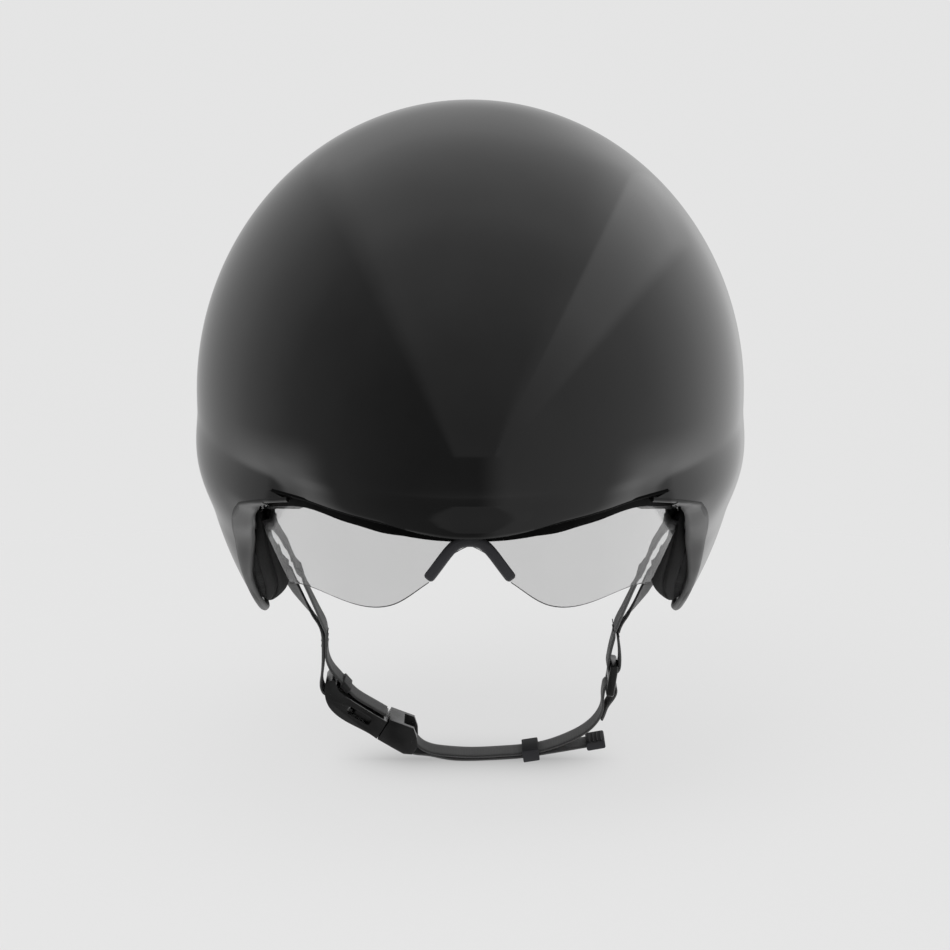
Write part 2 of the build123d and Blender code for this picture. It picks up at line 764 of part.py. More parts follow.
with BuildPart() as cradle_frame:
    add(cradle_ring(0, cradle_wall))
    with BuildSketch(Plane.XZ):
        with Locations((0, dial_level)):
            RectangleRounded(cradle_width, cradle_height, cradle_corner)
            with GridLocations((cradle_width + cradle_window_width) / 2, 0, 2, 1):
                RectangleRounded(cradle_window_width, cradle_window_height, cradle_window_height / 3,
                                 mode=Mode.SUBTRACT)
    extrude(amount=-cradle_reach - overrun, mode=Mode.INTERSECT)

with BuildPart() as cradle_pads:
    add(cradle_ring(cradle_wall + bond_gap, cradle_pad_wall))
    with BuildSketch(Plane.XZ):
        with Locations((0, dial_level)):
            with GridLocations((cradle_width + cradle_window_width) / 2, 0, 2, 1):
                RectangleRounded(cradle_pad_width, cradle_pad_height, cradle_corner / 2)
    extrude(amount=-cradle_reach - overrun, mode=Mode.INTERSECT)

# Dial housing: a box on the cradle with a bore for the racks and pinion and a bore for the stem
race_height = 2 * (pinion_pitch_radius + tooth_dedendum + rack_back_height + running_gap)
with BuildPart() as dial_housing:
    with BuildSketch(Plane.XZ.offset(-housing_back)):
        with Locations((0, dial_level)):
            RectangleRounded(housing_width, housing_height, housing_corner)
    extrude(amount=overrun)
    with BuildSketch(Plane.XY.offset(dial_level - housing_height)):
        Ellipse(cradle_half_width + bond_gap, cradle_reach + bond_gap)
    extrude(amount=2 * housing_height, mode=Mode.SUBTRACT)
    with BuildSketch(Plane.YZ):
        with Locations((rack_station, dial_level)):
            Rectangle(rack_wall + 2 * running_gap, race_height)
    extrude(amount=housing_width, both=True, mode=Mode.SUBTRACT)
    with BuildSketch(Plane.XZ.offset(-housing_back)):
        with Locations((0, dial_level)):
            Circle(stem_size / 2 * math.sqrt(2) + running_gap)
    extrude(amount=housing_back - rack_station, mode=Mode.SUBTRACT)


def rack(side, level):
    """Returns a toothed rack beside the pinion, its teeth toward the pinion's axis."""
    pitch_line = level - side * (rack_back_height / 2 + tooth_dedendum)
    with BuildPart() as bar:
        with BuildSketch(Plane.XZ.offset(-rack_station - rack_wall / 2)):
            with Locations((-side * (rack_half_span - rack_lead) / 2, level)):
                Rectangle(rack_length, rack_back_height)
            for count in range(-pinion_teeth, pinion_teeth):
                x = (count + 0.5) * tooth_pitch
                if tooth_root_width - rack_lead < -side * x < rack_half_span - 2 * rack_lead:
                    root = level - side * rack_back_height / 2
                    tip = pitch_line - side * tooth_addendum
                    with BuildLine():
                        Polyline((x - tooth_root_width / 2, root), (x + tooth_root_width / 2, root),
                                 (x + tooth_tip_width / 2, tip), (x - tooth_tip_width / 2, tip), close=True)
                    make_face()
        extrude(amount=rack_wall)
    return bar.part


with BuildPart() as rack_left:
    add(rack(1, rack_level_left))

with BuildPart() as rack_right:
    add(rack(-1, rack_level_right))

with BuildPart() as drive_pinion:
    with BuildSketch(Plane.XZ.offset(-rack_station - rack_wall / 2)):
        with Locations((0, dial_level)):
            Circle(pinion_pitch_radius - tooth_dedendum)
            with PolarLocations(0, pinion_teeth, start_angle=90):
                Polygon((pinion_pitch_radius - 2 * tooth_dedendum, -tooth_root_width / 2),
                        (pinion_pitch_radius - tooth_dedendum, -tooth_root_width / 2),
                        (pinion_pitch_radius + tooth_addendum, -tooth_tip_width / 2),
                        (pinion_pitch_radius + tooth_addendum, tooth_tip_width / 2),
                        (pinion_pitch_radius - tooth_dedendum, tooth_root_width / 2),
                        (pinion_pitch_radius - 2 * tooth_dedendum, tooth_root_width / 2), align=None)
            Rectangle(stem_size + groove_gap, stem_size + groove_gap, mode=Mode.SUBTRACT)
    extrude(amount=rack_wall)

with BuildPart() as fit_dial:
    with BuildSketch(Plane.XZ.offset(-housing_back - running_gap)):
        with Locations((0, dial_level)):
            Circle(dial_radius)
    extrude(amount=-dial_depth)
    fillet(fit_dial.faces().sort_by(Axis.Y)[-1].edges(), radius=grip_notch / 2)
    with BuildSketch(Plane.XZ.offset(-housing_back - running_gap)):
        with Locations((0, dial_level)):
            Rectangle(stem_size, stem_size)
    extrude(amount=housing_back + running_gap - rack_station + rack_wall / 2)

with BuildPart() as dial_grip:
    with BuildSketch(Plane.XZ.offset(-housing_back - running_gap)):
        with Locations((0, dial_level)):
            Circle(dial_radius + grip_wall)
            Circle(dial_radius + groove_gap, mode=Mode.SUBTRACT)
            with PolarLocations(dial_radius + grip_wall, grip_notches):
                Circle(grip_notch / 2, mode=Mode.SUBTRACT)
    extrude(amount=grip_notch - dial_depth)

with BuildPart() as front_strap_left:
    add(hanging_web(front_planes_left))
    add(flat_web([(-inner_x, -junction_bottom_left), *strap_points(buckle_tail_shares)]))

with BuildPart() as front_strap_right:
    add(hanging_web(front_planes_right))
    add(flat_web([(inner_x, -junction_bottom_right), *strap_points(slider_wrap_shares)]))

with BuildPart() as rear_strap_left:
    add(hanging_web(rear_planes_left))
    add(flat_web([(-outer_x, -junction_bottom_left), *strap_points(socket_wrap_shares)]))

with BuildPart() as rear_strap_right:
    add(hanging_web(rear_planes_right))

with BuildPart() as strap_anchors:
    add(anchor_blocks(0))
    for planes in (front_planes_left, front_planes_right, rear_planes_left, rear_planes_right):
        with BuildSketch(planes[0].offset(-layer_gap)):
            Rectangle(web_width + 2 * layer_gap, web_wall + 2 * layer_gap)
        extrude(amount=anchor_slot_depth + layer_gap, mode=Mode.SUBTRACT)

with BuildPart() as chin_strap:
    add(flat_web(strap_points(chin_start_shares + double_shares + chin_end_shares)))

with BuildPart() as strap_tail:
    add(flat_web(strap_points(tail_start_shares) + strap_points(double_shares, layer_step)
                 + strap_points(loose_shares)))

# Strap hardware: the keeper, the rubber end, the elastic loop on the left, and the slider


def along_web(low_share, high_share, drop):
    """Returns the plane at a web's place, its X along the web and its Z to the front."""
    low = strap_points([low_share], drop)[0]
    high = strap_points([high_share], drop)[0]
    return Plane(origin=((low[0] + high[0]) / 2, strap_station, (low[1] + high[1]) / 2),
                 x_dir=(high[0] - low[0], 0, high[1] - low[1]), z_dir=(0, -1, 0))


keeper_plane = along_web(double_shares[-2], double_shares[-1], layer_step / 2)
with BuildPart() as strap_keeper:
    with BuildSketch(keeper_plane):
        RectangleRounded(keeper_length, web_wall + layer_step + 2 * (2 * layer_gap + keeper_wall),
                         keeper_wall / 2)
    extrude(amount=web_width / 2 + layer_gap + keeper_side_wall, both=True)
    with BuildSketch(keeper_plane):
        Rectangle(keeper_length + overrun, web_wall + layer_step + 4 * layer_gap)
    extrude(amount=web_width / 2 + layer_gap, both=True, mode=Mode.SUBTRACT)

tip_plane = along_web(loose_shares[0], loose_shares[1], 0)
tip_x, tip_z = on_strap(loose_shares[1])
tip_plane.origin = Vector(tip_x, strap_station, tip_z)
with BuildPart() as strap_end_tip:
    with BuildSketch(tip_plane):
        with Locations((-tip_length / 6, 0)):
            RectangleRounded(tip_length, web_wall + 2 * (layer_gap + tip_wall), tip_wall,
                             align=(Align.MIN, Align.CENTER))
    extrude(amount=web_width / 2 + layer_gap + tip_wall, both=True)
    with BuildSketch(tip_plane):
        Rectangle(tip_length, web_wall + 2 * layer_gap)
    extrude(amount=web_width / 2 + layer_gap, both=True, mode=Mode.SUBTRACT)

elastic_plane = along_web(buckle_tail_shares[1], buckle_tail_shares[3], 0)
elastic_x, elastic_z = on_strap(buckle_tail_shares[2])
elastic_plane.origin = Vector(elastic_x, strap_station, elastic_z)
with BuildPart() as tail_keeper:
    with BuildSketch(elastic_plane):
        Rectangle(elastic_length, web_wall + 2 * (layer_gap + elastic_wall))
    extrude(amount=web_width / 2 + layer_gap + elastic_wall, both=True)
    with BuildSketch(elastic_plane):
        Rectangle(elastic_length + overrun, web_wall + 2 * layer_gap)
    extrude(amount=web_width / 2 + layer_gap, both=True, mode=Mode.SUBTRACT)

slider_turn = math.radians(slider_angle)
slider_plane = Plane(origin=(slider_x, strap_station, slider_z),
                     x_dir=(math.cos(slider_turn), 0, math.sin(slider_turn)), z_dir=(0, -1, 0))
slider_length = 3 * slider_bar + 2 * slider_slot
with BuildPart() as length_slider:
    with BuildSketch(slider_plane):
        with Locations((-slider_bar / 2, 0)):
            RectangleRounded(slider_length, slider_wall, slider_wall / 3, align=(Align.MIN, Align.CENTER))
    extrude(amount=slider_width / 2, both=True)
    with BuildSketch(slider_plane):
        for start in (slider_bar / 2, 3 * slider_bar / 2 + slider_slot):
            with Locations((start, 0)):
                Rectangle(slider_slot, 2 * slider_wall, align=(Align.MIN, Align.CENTER))
    extrude(amount=web_width / 2 + layer_gap, both=True, mode=Mode.SUBTRACT)

# Buckle: a curved socket that takes the left strap, and a plug with two release fingers
buckle_turn = math.radians(buckle_angle)
buckle_origin = (buckle_mouth_x, strap_station, buckle_mouth_z)
buckle_along = (math.cos(buckle_turn), 0, math.sin(buckle_turn))
buckle_up = (-math.sin(buckle_turn), 0, math.cos(buckle_turn))
buckle_view = Plane(origin=buckle_origin, x_dir=buckle_along, z_dir=(0, -1, 0))
buckle_floor = Plane(origin=buckle_origin, x_dir=buckle_along, z_dir=buckle_up)
bore_foot = -socket_bore_height / 2 - layer_gap * 2


def by_shares(shares, length):
    """Returns buckle-view places from shares of a length and of the socket's height."""
    return [(length * along, socket_height * up) for along, up in shares]


with BuildPart() as buckle_socket:
    with BuildSketch(buckle_view):
        with BuildLine():
            foot = Spline(*by_shares(socket_foot_shares, socket_length))
            top = Spline(*by_shares(socket_top_shares, socket_length))
            Line(foot @ 1, top @ 0)
            Line(top @ 1, foot @ 0)
        make_face()
    extrude(amount=buckle_width / 2, both=True)
    with BuildSketch(buckle_floor.offset(bore_foot)):
        with Locations((overrun, 0)):
            Rectangle(socket_bore_depth + overrun, socket_bore_width, align=(Align.MAX, Align.CENTER))
    extrude(amount=socket_bore_height, mode=Mode.SUBTRACT)
    with BuildSketch(buckle_view):
        with Locations((-socket_bore_depth + socket_window_length / 2, bore_foot + socket_bore_height / 2)):
            RectangleRounded(socket_window_length, socket_window_height, socket_window_height / 3)
    extrude(amount=buckle_width, both=True, mode=Mode.SUBTRACT)
    with BuildSketch(buckle_view):
        with Locations(by_shares([socket_slot_share], socket_length)[0]):
            Rectangle(socket_slot, 3 * socket_height, rotation=-socket_slot_lean)
    extrude(amount=web_width / 2 + layer_gap, both=True, mode=Mode.SUBTRACT)

bar_place = by_shares([plug_bar_share], plug_length)[0]
with BuildPart() as buckle_plug:
    with BuildSketch(buckle_view):
        with BuildLine():
            outline = by_shares(plug_shares, plug_length)
            Polyline(*outline, close=True)
        make_face()
    extrude(amount=buckle_width / 2 - layer_gap, both=True)
    with BuildSketch(buckle_floor.offset(-buckle_width)):
        with Locations((plug_slot_start, 0)):
            Rectangle(plug_length, web_width + 2 * layer_gap, align=(Align.MIN, Align.CENTER))
    extrude(amount=2 * buckle_width, mode=Mode.SUBTRACT)
    with BuildSketch(buckle_view):
        with Locations(bar_place):
            RectangleRounded(plug_bar_height, plug_bar_height, plug_bar_height / 4)
    extrude(amount=web_width / 2 + 2 * layer_gap, both=True)
    with BuildSketch(buckle_floor.offset(bore_foot + layer_gap * 2)):
        with Locations((2 * plug_gap, 0)):
            Rectangle(guide_length + 2 * plug_gap, guide_width, align=(Align.MAX, Align.CENTER))
    extrude(amount=socket_bore_height - 4 * layer_gap)


def release_finger(side):
    """Returns one springy finger beside the plug's guide, its round root at the socket's mouth."""
    place = side * (socket_bore_width / 2 - running_gap - arm_finger_width / 2)
    with BuildPart() as finger:
        with BuildSketch(buckle_floor.offset(bore_foot + 2 * layer_gap)):
            with Locations((plug_gap - running_gap, place)):
                SlotOverall(arm_finger_length, arm_finger_width, align=(Align.MAX, Align.CENTER))
        extrude(amount=socket_bore_height - 4 * layer_gap)
    return finger.part


with BuildPart() as release_arm_front:
    add(release_finger(-1))

with BuildPart() as release_arm_rear:
    add(release_finger(1))

# Every piece, with the name of its node
pieces = {
    "outer_shell": outer_shell, "foam_liner": foam_liner, "lower_trim": lower_trim,
    "tail_vent": tail_vent, "brow_pad": brow_pad, "crown_pad": crown_pad, "side_pads": side_pads,
    "ear_pad_left": ear_pad_left, "ear_pad_right": ear_pad_right, "brow_magnets": brow_magnets,
    "band_pivots": band_pivots, "visor_lens": visor_lens, "visor_rail": visor_rail,
    "nose_guard": nose_guard, "visor_magnets": visor_magnets, "band_arm_left": band_arm_left,
    "band_arm_right": band_arm_right, "cradle_frame": cradle_frame, "cradle_pads": cradle_pads,
    "dial_housing": dial_housing, "rack_left": rack_left, "rack_right": rack_right,
    "drive_pinion": drive_pinion, "fit_dial": fit_dial, "dial_grip": dial_grip,
    "strap_anchors": strap_anchors, "front_strap_left": front_strap_left,
    "front_strap_right": front_strap_right, "rear_strap_left": rear_strap_left,
    "rear_strap_right": rear_strap_right, "chin_strap": chin_strap, "strap_tail": strap_tail,
    "strap_keeper": strap_keeper, "strap_end_tip": strap_end_tip, "tail_keeper": tail_keeper,
    "length_slider": length_slider, "buckle_socket": buckle_socket, "buckle_plug": buckle_plug,
    "release_arm_front": release_arm_front, "release_arm_rear": release_arm_rear,
}
os.makedirs("parts", exist_ok=True)
for name, piece in pieces.items():
    piece.part.label = name
    export_step(piece.part, f"parts/{name}.step")
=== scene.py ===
"""Dresses an aero time trial helmet: its glossy shell, visor, straps, buckle, pads and fit system."""
import logging
import math
from dataclasses import dataclass
from enum import Enum
from typing import Callable, Iterable, Sequence

import bmesh
import bpy
import numpy as np
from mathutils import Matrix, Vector
from mathutils.kdtree import KDTree


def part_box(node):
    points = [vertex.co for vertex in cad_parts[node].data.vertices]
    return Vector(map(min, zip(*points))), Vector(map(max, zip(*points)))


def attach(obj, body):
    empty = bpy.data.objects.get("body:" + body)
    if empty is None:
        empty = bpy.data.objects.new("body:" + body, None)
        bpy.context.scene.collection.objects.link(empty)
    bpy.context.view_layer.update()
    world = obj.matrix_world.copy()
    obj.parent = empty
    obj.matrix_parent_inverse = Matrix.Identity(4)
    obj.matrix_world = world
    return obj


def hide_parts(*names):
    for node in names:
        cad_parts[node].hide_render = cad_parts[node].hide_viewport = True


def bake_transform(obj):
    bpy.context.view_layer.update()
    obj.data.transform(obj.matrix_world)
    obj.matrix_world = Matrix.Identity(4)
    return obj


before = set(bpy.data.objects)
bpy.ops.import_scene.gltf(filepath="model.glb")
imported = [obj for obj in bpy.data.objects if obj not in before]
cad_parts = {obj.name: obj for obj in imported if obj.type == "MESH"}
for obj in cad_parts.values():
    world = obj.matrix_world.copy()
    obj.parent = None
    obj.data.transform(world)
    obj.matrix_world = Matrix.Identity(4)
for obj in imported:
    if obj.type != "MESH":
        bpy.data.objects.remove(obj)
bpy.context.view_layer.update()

MM = 0.001
WELD = 0.002  # CAD vertices nearer than this, in millimetres, become one
FLAT_ANGLE = 0.4  # CAD faces that meet at less than this, in degrees, become one
EDGE_ANGLE = 35.0  # Edges that turn by more than this, in degrees, are rounded or stay sharp
LINE_DETAIL = 24  # Points walked for each knot while a line is measured
HALVINGS = 44  # Enough to close a gap of a metre to under a nanometre
FRONT = np.array([0.0, -1.0, 0.0])
BACK = np.array([0.0, 1.0, 0.0])
SIDES = {-1: "left", 1: "right"}
log = logging.getLogger("helmet")

Point = tuple[float, float, float]
Place = tuple[float, float]


class Body(str, Enum):
    """The bodies that the pieces made here ride on."""

    HELMET = "helmet"
    VISOR = "visor"
    BAND = "fit_band"
    CRADLE = "cradle"
    DIAL = "dial"
    PLUG = "plug"
    FRONT_RELEASE = "front_release"
    REAR_RELEASE = "rear_release"
    KEEPER = "keeper"


# Directions


def normed(ways: np.ndarray) -> np.ndarray:
    """Returns one direction, or one in each row, at length 1."""
    return ways / np.linalg.norm(ways, axis=-1, keepdims=True)


def square_to(along: np.ndarray, ways: np.ndarray) -> np.ndarray:
    """Returns directions of length 1, turned square to a line's, row by row."""
    return normed(ways - (ways * along).sum(1)[:, None] * along)


def facing(ways: np.ndarray, toward: Point) -> np.ndarray:
    """Returns directions, each turned round where it faces away from another."""
    return ways * np.sign((ways * np.array(toward)).sum(1))[:, None]


def closed_in(low: np.ndarray, high: np.ndarray, short: Callable[[np.ndarray], np.ndarray]) -> np.ndarray:
    """Closes in on where a test changes, for many values at once.

    Args:
        low: Values that are short of it.
        high: Values that are beyond it.
        short: Tells which values are short of it.

    Returns:
        The last values that were short of it.
    """
    for _ in range(HALVINGS):
        middle = (low + high) / 2
        before = short(middle)
        low, high = np.where(before, middle, low), np.where(before, high, middle)
    return low


# Meshes


def linked(name: str, data: bpy.types.ID) -> bpy.types.Object:
    """Makes an object and links it to the scene.

    Args:
        name: Its name.
        data: Its mesh, camera or light.

    Returns:
        The object.
    """
    made = bpy.data.objects.new(name, data)
    bpy.context.scene.collection.objects.link(made)
    return made


def face_outward(piece: bpy.types.Object, weld: float = 0.0) -> None:
    """Turns a closed piece's faces outward.

    Args:
        piece: The piece.
        weld: How near vertices are to be merged first, in millimetres, or 0 to keep them all.
    """
    work = bmesh.new()
    work.from_mesh(piece.data)
    if weld:
        bmesh.ops.remove_doubles(work, verts=work.verts, dist=weld * MM)
    bmesh.ops.recalc_face_normals(work, faces=work.faces)
    work.to_mesh(piece.data)
    work.free()


def vertex_rows(mesh: bpy.types.Mesh, key: str = "co") -> np.ndarray:
    """Reads a mesh's vertices or their normals.

    Args:
        mesh: The mesh.
        key: co for the places in metres, or normal.

    Returns:
        One row for each vertex.
    """
    rows = np.empty(len(mesh.vertices) * 3, np.float32)
    mesh.vertices.foreach_get(key, rows)
    return rows.reshape(-1, 3).astype(float)


def move_vertices(mesh: bpy.types.Mesh, rows: np.ndarray) -> None:
    """Sets a mesh's vertices from rows in metres."""
    mesh.vertices.foreach_set("co", rows.astype(np.float32).ravel())
    mesh.update()


def mesh_piece(name: str, points: np.ndarray, faces: Sequence[Sequence[int]],
               uvs: np.ndarray | None = None, smooth: bool = True) -> bpy.types.Object:
    """Makes a mesh object at the origin from points in millimetres.

    Args:
        name: The piece's name.
        points: Its vertices, one row each.
        faces: Its faces, as indices of the vertices.
        uvs: One place for each vertex in the piece's own UV map, if it has one.
        smooth: Whether its faces are shaded smooth.

    Returns:
        The new object, linked to the scene.
    """
    mesh = bpy.data.meshes.new(name)
    spots = [tuple(point) for point in np.asarray(points, float) * MM]
    mesh.from_pydata(spots, [], [tuple(face) for face in faces])
    mesh.update()
    if uvs is not None:
        layer = mesh.uv_layers.new(name="UVMap")
        corners = np.empty(len(mesh.loops), np.int32)
        mesh.loops.foreach_get("vertex_index", corners)
        layer.data.foreach_set("uv", np.asarray(uvs, np.float32)[corners].ravel())
    if smooth:
        mesh.shade_smooth()
    else:
        mesh.shade_flat()
    return linked(name, mesh)


def settle(piece: bpy.types.Object) -> bpy.types.Object:
    """Applies a piece's modifiers to its mesh and removes them.

    Args:
        piece: An object with modifiers.

    Returns:
        The same object with a plain mesh.
    """
    graph = bpy.context.evaluated_depsgraph_get()
    done = bpy.data.meshes.new_from_object(piece.evaluated_get(graph), preserve_all_data_layers=True,
                                           depsgraph=graph)
    piece.modifiers.clear()
    if piece.type == "MESH":
        old, piece.data = piece.data, done
        done.name = piece.name
        bpy.data.meshes.remove(old)
        return piece
    name = piece.name
    bpy.data.objects.remove(piece)
    return linked(name, done)


def carve(piece: bpy.types.Object, tool: bpy.types.Object) -> None:
    """Cuts a closed tool out of a closed piece and removes the tool.

    Args:
        piece: The blank.
        tool: The object that cuts it.
    """
    cut = piece.modifiers.new("carve", "BOOLEAN")
    cut.operation = "DIFFERENCE"
    cut.object = tool
    cut.solver = "MANIFOLD"
    settle(piece)
    if not len(piece.data.polygons):
        raise ValueError(f"{tool.name} left nothing of {piece.name}")
    bpy.data.objects.remove(tool)


def soften(piece: bpy.types.Object, width: float, segments: int) -> None:
    """Rounds a piece's sharp edges.

    Args:
        piece: The piece.
        width: The rounding's width in millimetres.
        segments: How many faces go round it.
    """
    bevel = piece.modifiers.new("soften", "BEVEL")
    bevel.width = width * MM
    bevel.segments = segments
    bevel.limit_method = "ANGLE"
    bevel.angle_limit = math.radians(EDGE_ANGLE)
    bevel.harden_normals = True
    bevel.use_clamp_overlap = True
    settle(piece)
    piece.data.shade_smooth()
    piece.data.set_sharp_from_angle(angle=math.radians(EDGE_ANGLE))


def from_frame(node: str, name: str) -> bpy.types.Object:
    """Copies a CAD node's mesh, merges its loose triangles and clears its flat faces.

    Args:
        node: The CAD node.
        name: The new piece's name.

    Returns:
        The new object.
    """
    work = bmesh.new()
    work.from_mesh(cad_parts[node].data)
    bmesh.ops.remove_doubles(work, verts=work.verts, dist=WELD * MM)
    bmesh.ops.dissolve_limit(work, angle_limit=math.radians(FLAT_ANGLE), verts=work.verts, edges=work.edges,
                             delimit={"NORMAL"})
    mesh = bpy.data.meshes.new(name)
    work.to_mesh(mesh)
    work.free()
    mesh.shade_smooth()
    return linked(name, mesh)


def smooth_line(points: Iterable[Sequence[float]], count: int) -> np.ndarray:
    """Runs a natural cubic through points.

    Args:
        points: The points, in two or three dimensions.
        count: How many points to return, evenly spaced along it.

    Returns:
        The line's points, one row each.
    """
    knots = np.array([tuple(point) for point in points], float)
    if len(knots) < 3:
        share = np.linspace(0, 1, count)[:, None]
        return knots[0] * (1 - share) + knots[-1] * share
    gaps = np.linalg.norm(np.diff(knots, axis=0), axis=1)
    at = np.concatenate(([0], np.cumsum(gaps)))
    size = len(knots)
    system = np.zeros((size, size))
    right = np.zeros_like(knots)
    system[0, 0] = system[-1, -1] = 1
    for i in range(1, size - 1):
        system[i, i - 1:i + 2] = gaps[i - 1], 2 * (gaps[i - 1] + gaps[i]), gaps[i]
        right[i] = 6 * ((knots[i + 1] - knots[i]) / gaps[i] - (knots[i] - knots[i - 1]) / gaps[i - 1])
    bend = np.linalg.solve(system, right)

    def walk(where: np.ndarray) -> np.ndarray:
        """Follows the curve from knot to knot.

        Args:
            where: Distances along the straight lines between the knots.

        Returns:
            The curve's points there.
        """
        i = np.clip(np.searchsorted(at, where, side="right") - 1, 0, size - 2)
        h = gaps[i][:, None]
        a = (at[i + 1] - where)[:, None] / h
        b = 1 - a
        return (a * knots[i] + b * knots[i + 1]
                + ((a ** 3 - a) * bend[i] + (b ** 3 - b) * bend[i + 1]) * h ** 2 / 6)

    fine = np.linspace(0, at[-1], LINE_DETAIL * size)
    run = np.concatenate(([0], np.cumsum(np.linalg.norm(np.diff(walk(fine), axis=0), axis=1))))
    return walk(np.interp(np.linspace(0, run[-1], count), run, fine))


def extruded(name: str, outline: np.ndarray, origin: Point, across: Point, up: Point, low: float,
             high: float) -> bpy.types.Object:
    """Makes a closed block from a flat outline.

    Args:
        name: The object's name.
        outline: Its places along across and up, in millimetres.
        origin: Where the outline's origin is.
        across: The unit direction of its first axis.
        up: The unit direction of its second axis.
        low: Where the block starts along the outline's normal.
        high: Where it ends.

    Returns:
        The block.
    """
    across, up = np.array(across, float), np.array(up, float)
    normal = np.cross(across, up)
    outline = np.asarray(outline, float)
    base = np.array(origin, float) + outline[:, :1] * across + outline[:, 1:] * up
    count = len(base)
    points = np.concatenate((base + normal * low, base + normal * high))
    faces = [tuple(range(count)), tuple(range(2 * count - 1, count - 1, -1))]
    faces += [(i, (i + 1) % count, count + (i + 1) % count, count + i) for i in range(count)]
    piece = mesh_piece(name, points, faces, smooth=False)
    face_outward(piece)
    return piece


def rounded_box(width: float, height: float, corner: float, steps: int = 6) -> np.ndarray:
    """Returns the outline of a rectangle with rounded corners.

    Args:
        width: Its whole width.
        height: Its whole height.
        corner: The radius of its corners.
        steps: Points in each corner.

    Returns:
        The outline's places, in order.
    """
    places = []
    for number, (sx, sy) in enumerate(((1, 1), (-1, 1), (-1, -1), (1, -1))):
        for turn in np.linspace(0, math.pi / 2, steps) + number * math.pi / 2:
            places.append((sx * (width / 2 - corner) + corner * math.cos(turn),
                           sy * (height / 2 - corner) + corner * math.sin(turn)))
    return np.array(places)


def lofted(name: str, rings: np.ndarray, uvs: np.ndarray | None = None, closed: bool = False,
           sharp: float = 60) -> bpy.types.Object:
    """Makes a closed skin over rings of points.

    Args:
        name: The object's name.
        rings: The rings (row, point, axis) in millimetres.
        uvs: One place for each point in the piece's own UV map, if it has one.
        closed: Whether the last ring joins the first.
        sharp: The least angle, in degrees, of an edge that stays sharp.

    Returns:
        The skin, with closed ends unless it is a loop.
    """
    rows, ring = rings.shape[:2]
    faces = []
    for row in range(rows if closed else rows - 1):
        after = (row + 1) % rows
        for i in range(ring):
            j = (i + 1) % ring
            faces.append((row * ring + i, row * ring + j, after * ring + j, after * ring + i))
    if not closed:
        faces.append(tuple(range(ring - 1, -1, -1)))
        faces.append(tuple(range((rows - 1) * ring, rows * ring)))
    piece = mesh_piece(name, rings.reshape(-1, 3), faces, uvs)
    face_outward(piece)
    piece.data.set_sharp_from_angle(angle=math.radians(sharp))
    return piece


def swept(spots: np.ndarray, across: np.ndarray, up: np.ndarray, section: np.ndarray) -> np.ndarray:
    """Sets a section at each point of a line.

    Args:
        spots: The line's points, one row each.
        across: The direction of the section's first axis at each point.
        up: The direction of its second axis at each point.
        section: Its places (point, axis), or (row, point, axis) where it changes along the line.

    Returns:
        The rings (row, point, axis).
    """
    return spots[:, None] + section[..., :1] * across[:, None] + section[..., 1:] * up[:, None]


def ribbon(name: str, spots: np.ndarray, across: np.ndarray, section: np.ndarray,
           closed: bool = False) -> bpy.types.Object:
    """Sweeps a closed section along a line, with a UV map in metres round and along it.

    Args:
        name: The object's name.
        spots: The line's points in millimetres.
        across: The direction of the section's first axis at each point.
        section: The section's places (along across, along the line's own normal) in millimetres.
        closed: Whether the line's end joins its start.

    Returns:
        The swept piece, with closed ends unless it is a loop.
    """
    spots = np.asarray(spots, float)
    if closed:
        along = normed(np.roll(spots, -1, axis=0) - np.roll(spots, 1, axis=0))
    else:
        along = normed(np.gradient(spots, axis=0))
    across = square_to(along, np.broadcast_to(np.asarray(across, float), spots.shape))
    rings = swept(spots, across, np.cross(along, across), section)
    rows, ring = len(spots), len(section)
    step = np.linalg.norm(np.diff(section, axis=0, append=section[:1]), axis=1)
    round_it = np.concatenate(([0], np.cumsum(step)))[:ring]
    run = np.concatenate(([0], np.cumsum(np.linalg.norm(np.diff(spots, axis=0), axis=1))))
    uvs = np.stack((np.tile(round_it, rows), np.repeat(run, ring)), axis=1) * MM
    return lofted(name, rings, uvs, closed)


def round_section(radius: float, sides: int) -> np.ndarray:
    """Returns a round section's places."""
    turn = np.linspace(0, 2 * math.pi, sides, endpoint=False)
    return np.stack((np.cos(turn), np.sin(turn)), axis=1) * radius


def flat_section(width: float, wall: float) -> np.ndarray:
    """Returns the section of a flat web with rounded edges.

    Args:
        width: Its whole width.
        wall: Its thickness.

    Returns:
        The section's places, round it in order.
    """
    half, radius = width / 2, wall / 2
    face_steps, side_steps = 6, 3
    places = []
    for sign in (1, -1):
        places += [(sign * x, sign * radius) for x in np.linspace(half - radius, radius - half, face_steps)]
        for turn in np.linspace(0, math.pi, side_steps + 2)[1:-1]:
            places.append((-sign * (half - radius + radius * math.sin(turn)), sign * radius * math.cos(turn)))
    return np.array(places)


# Materials


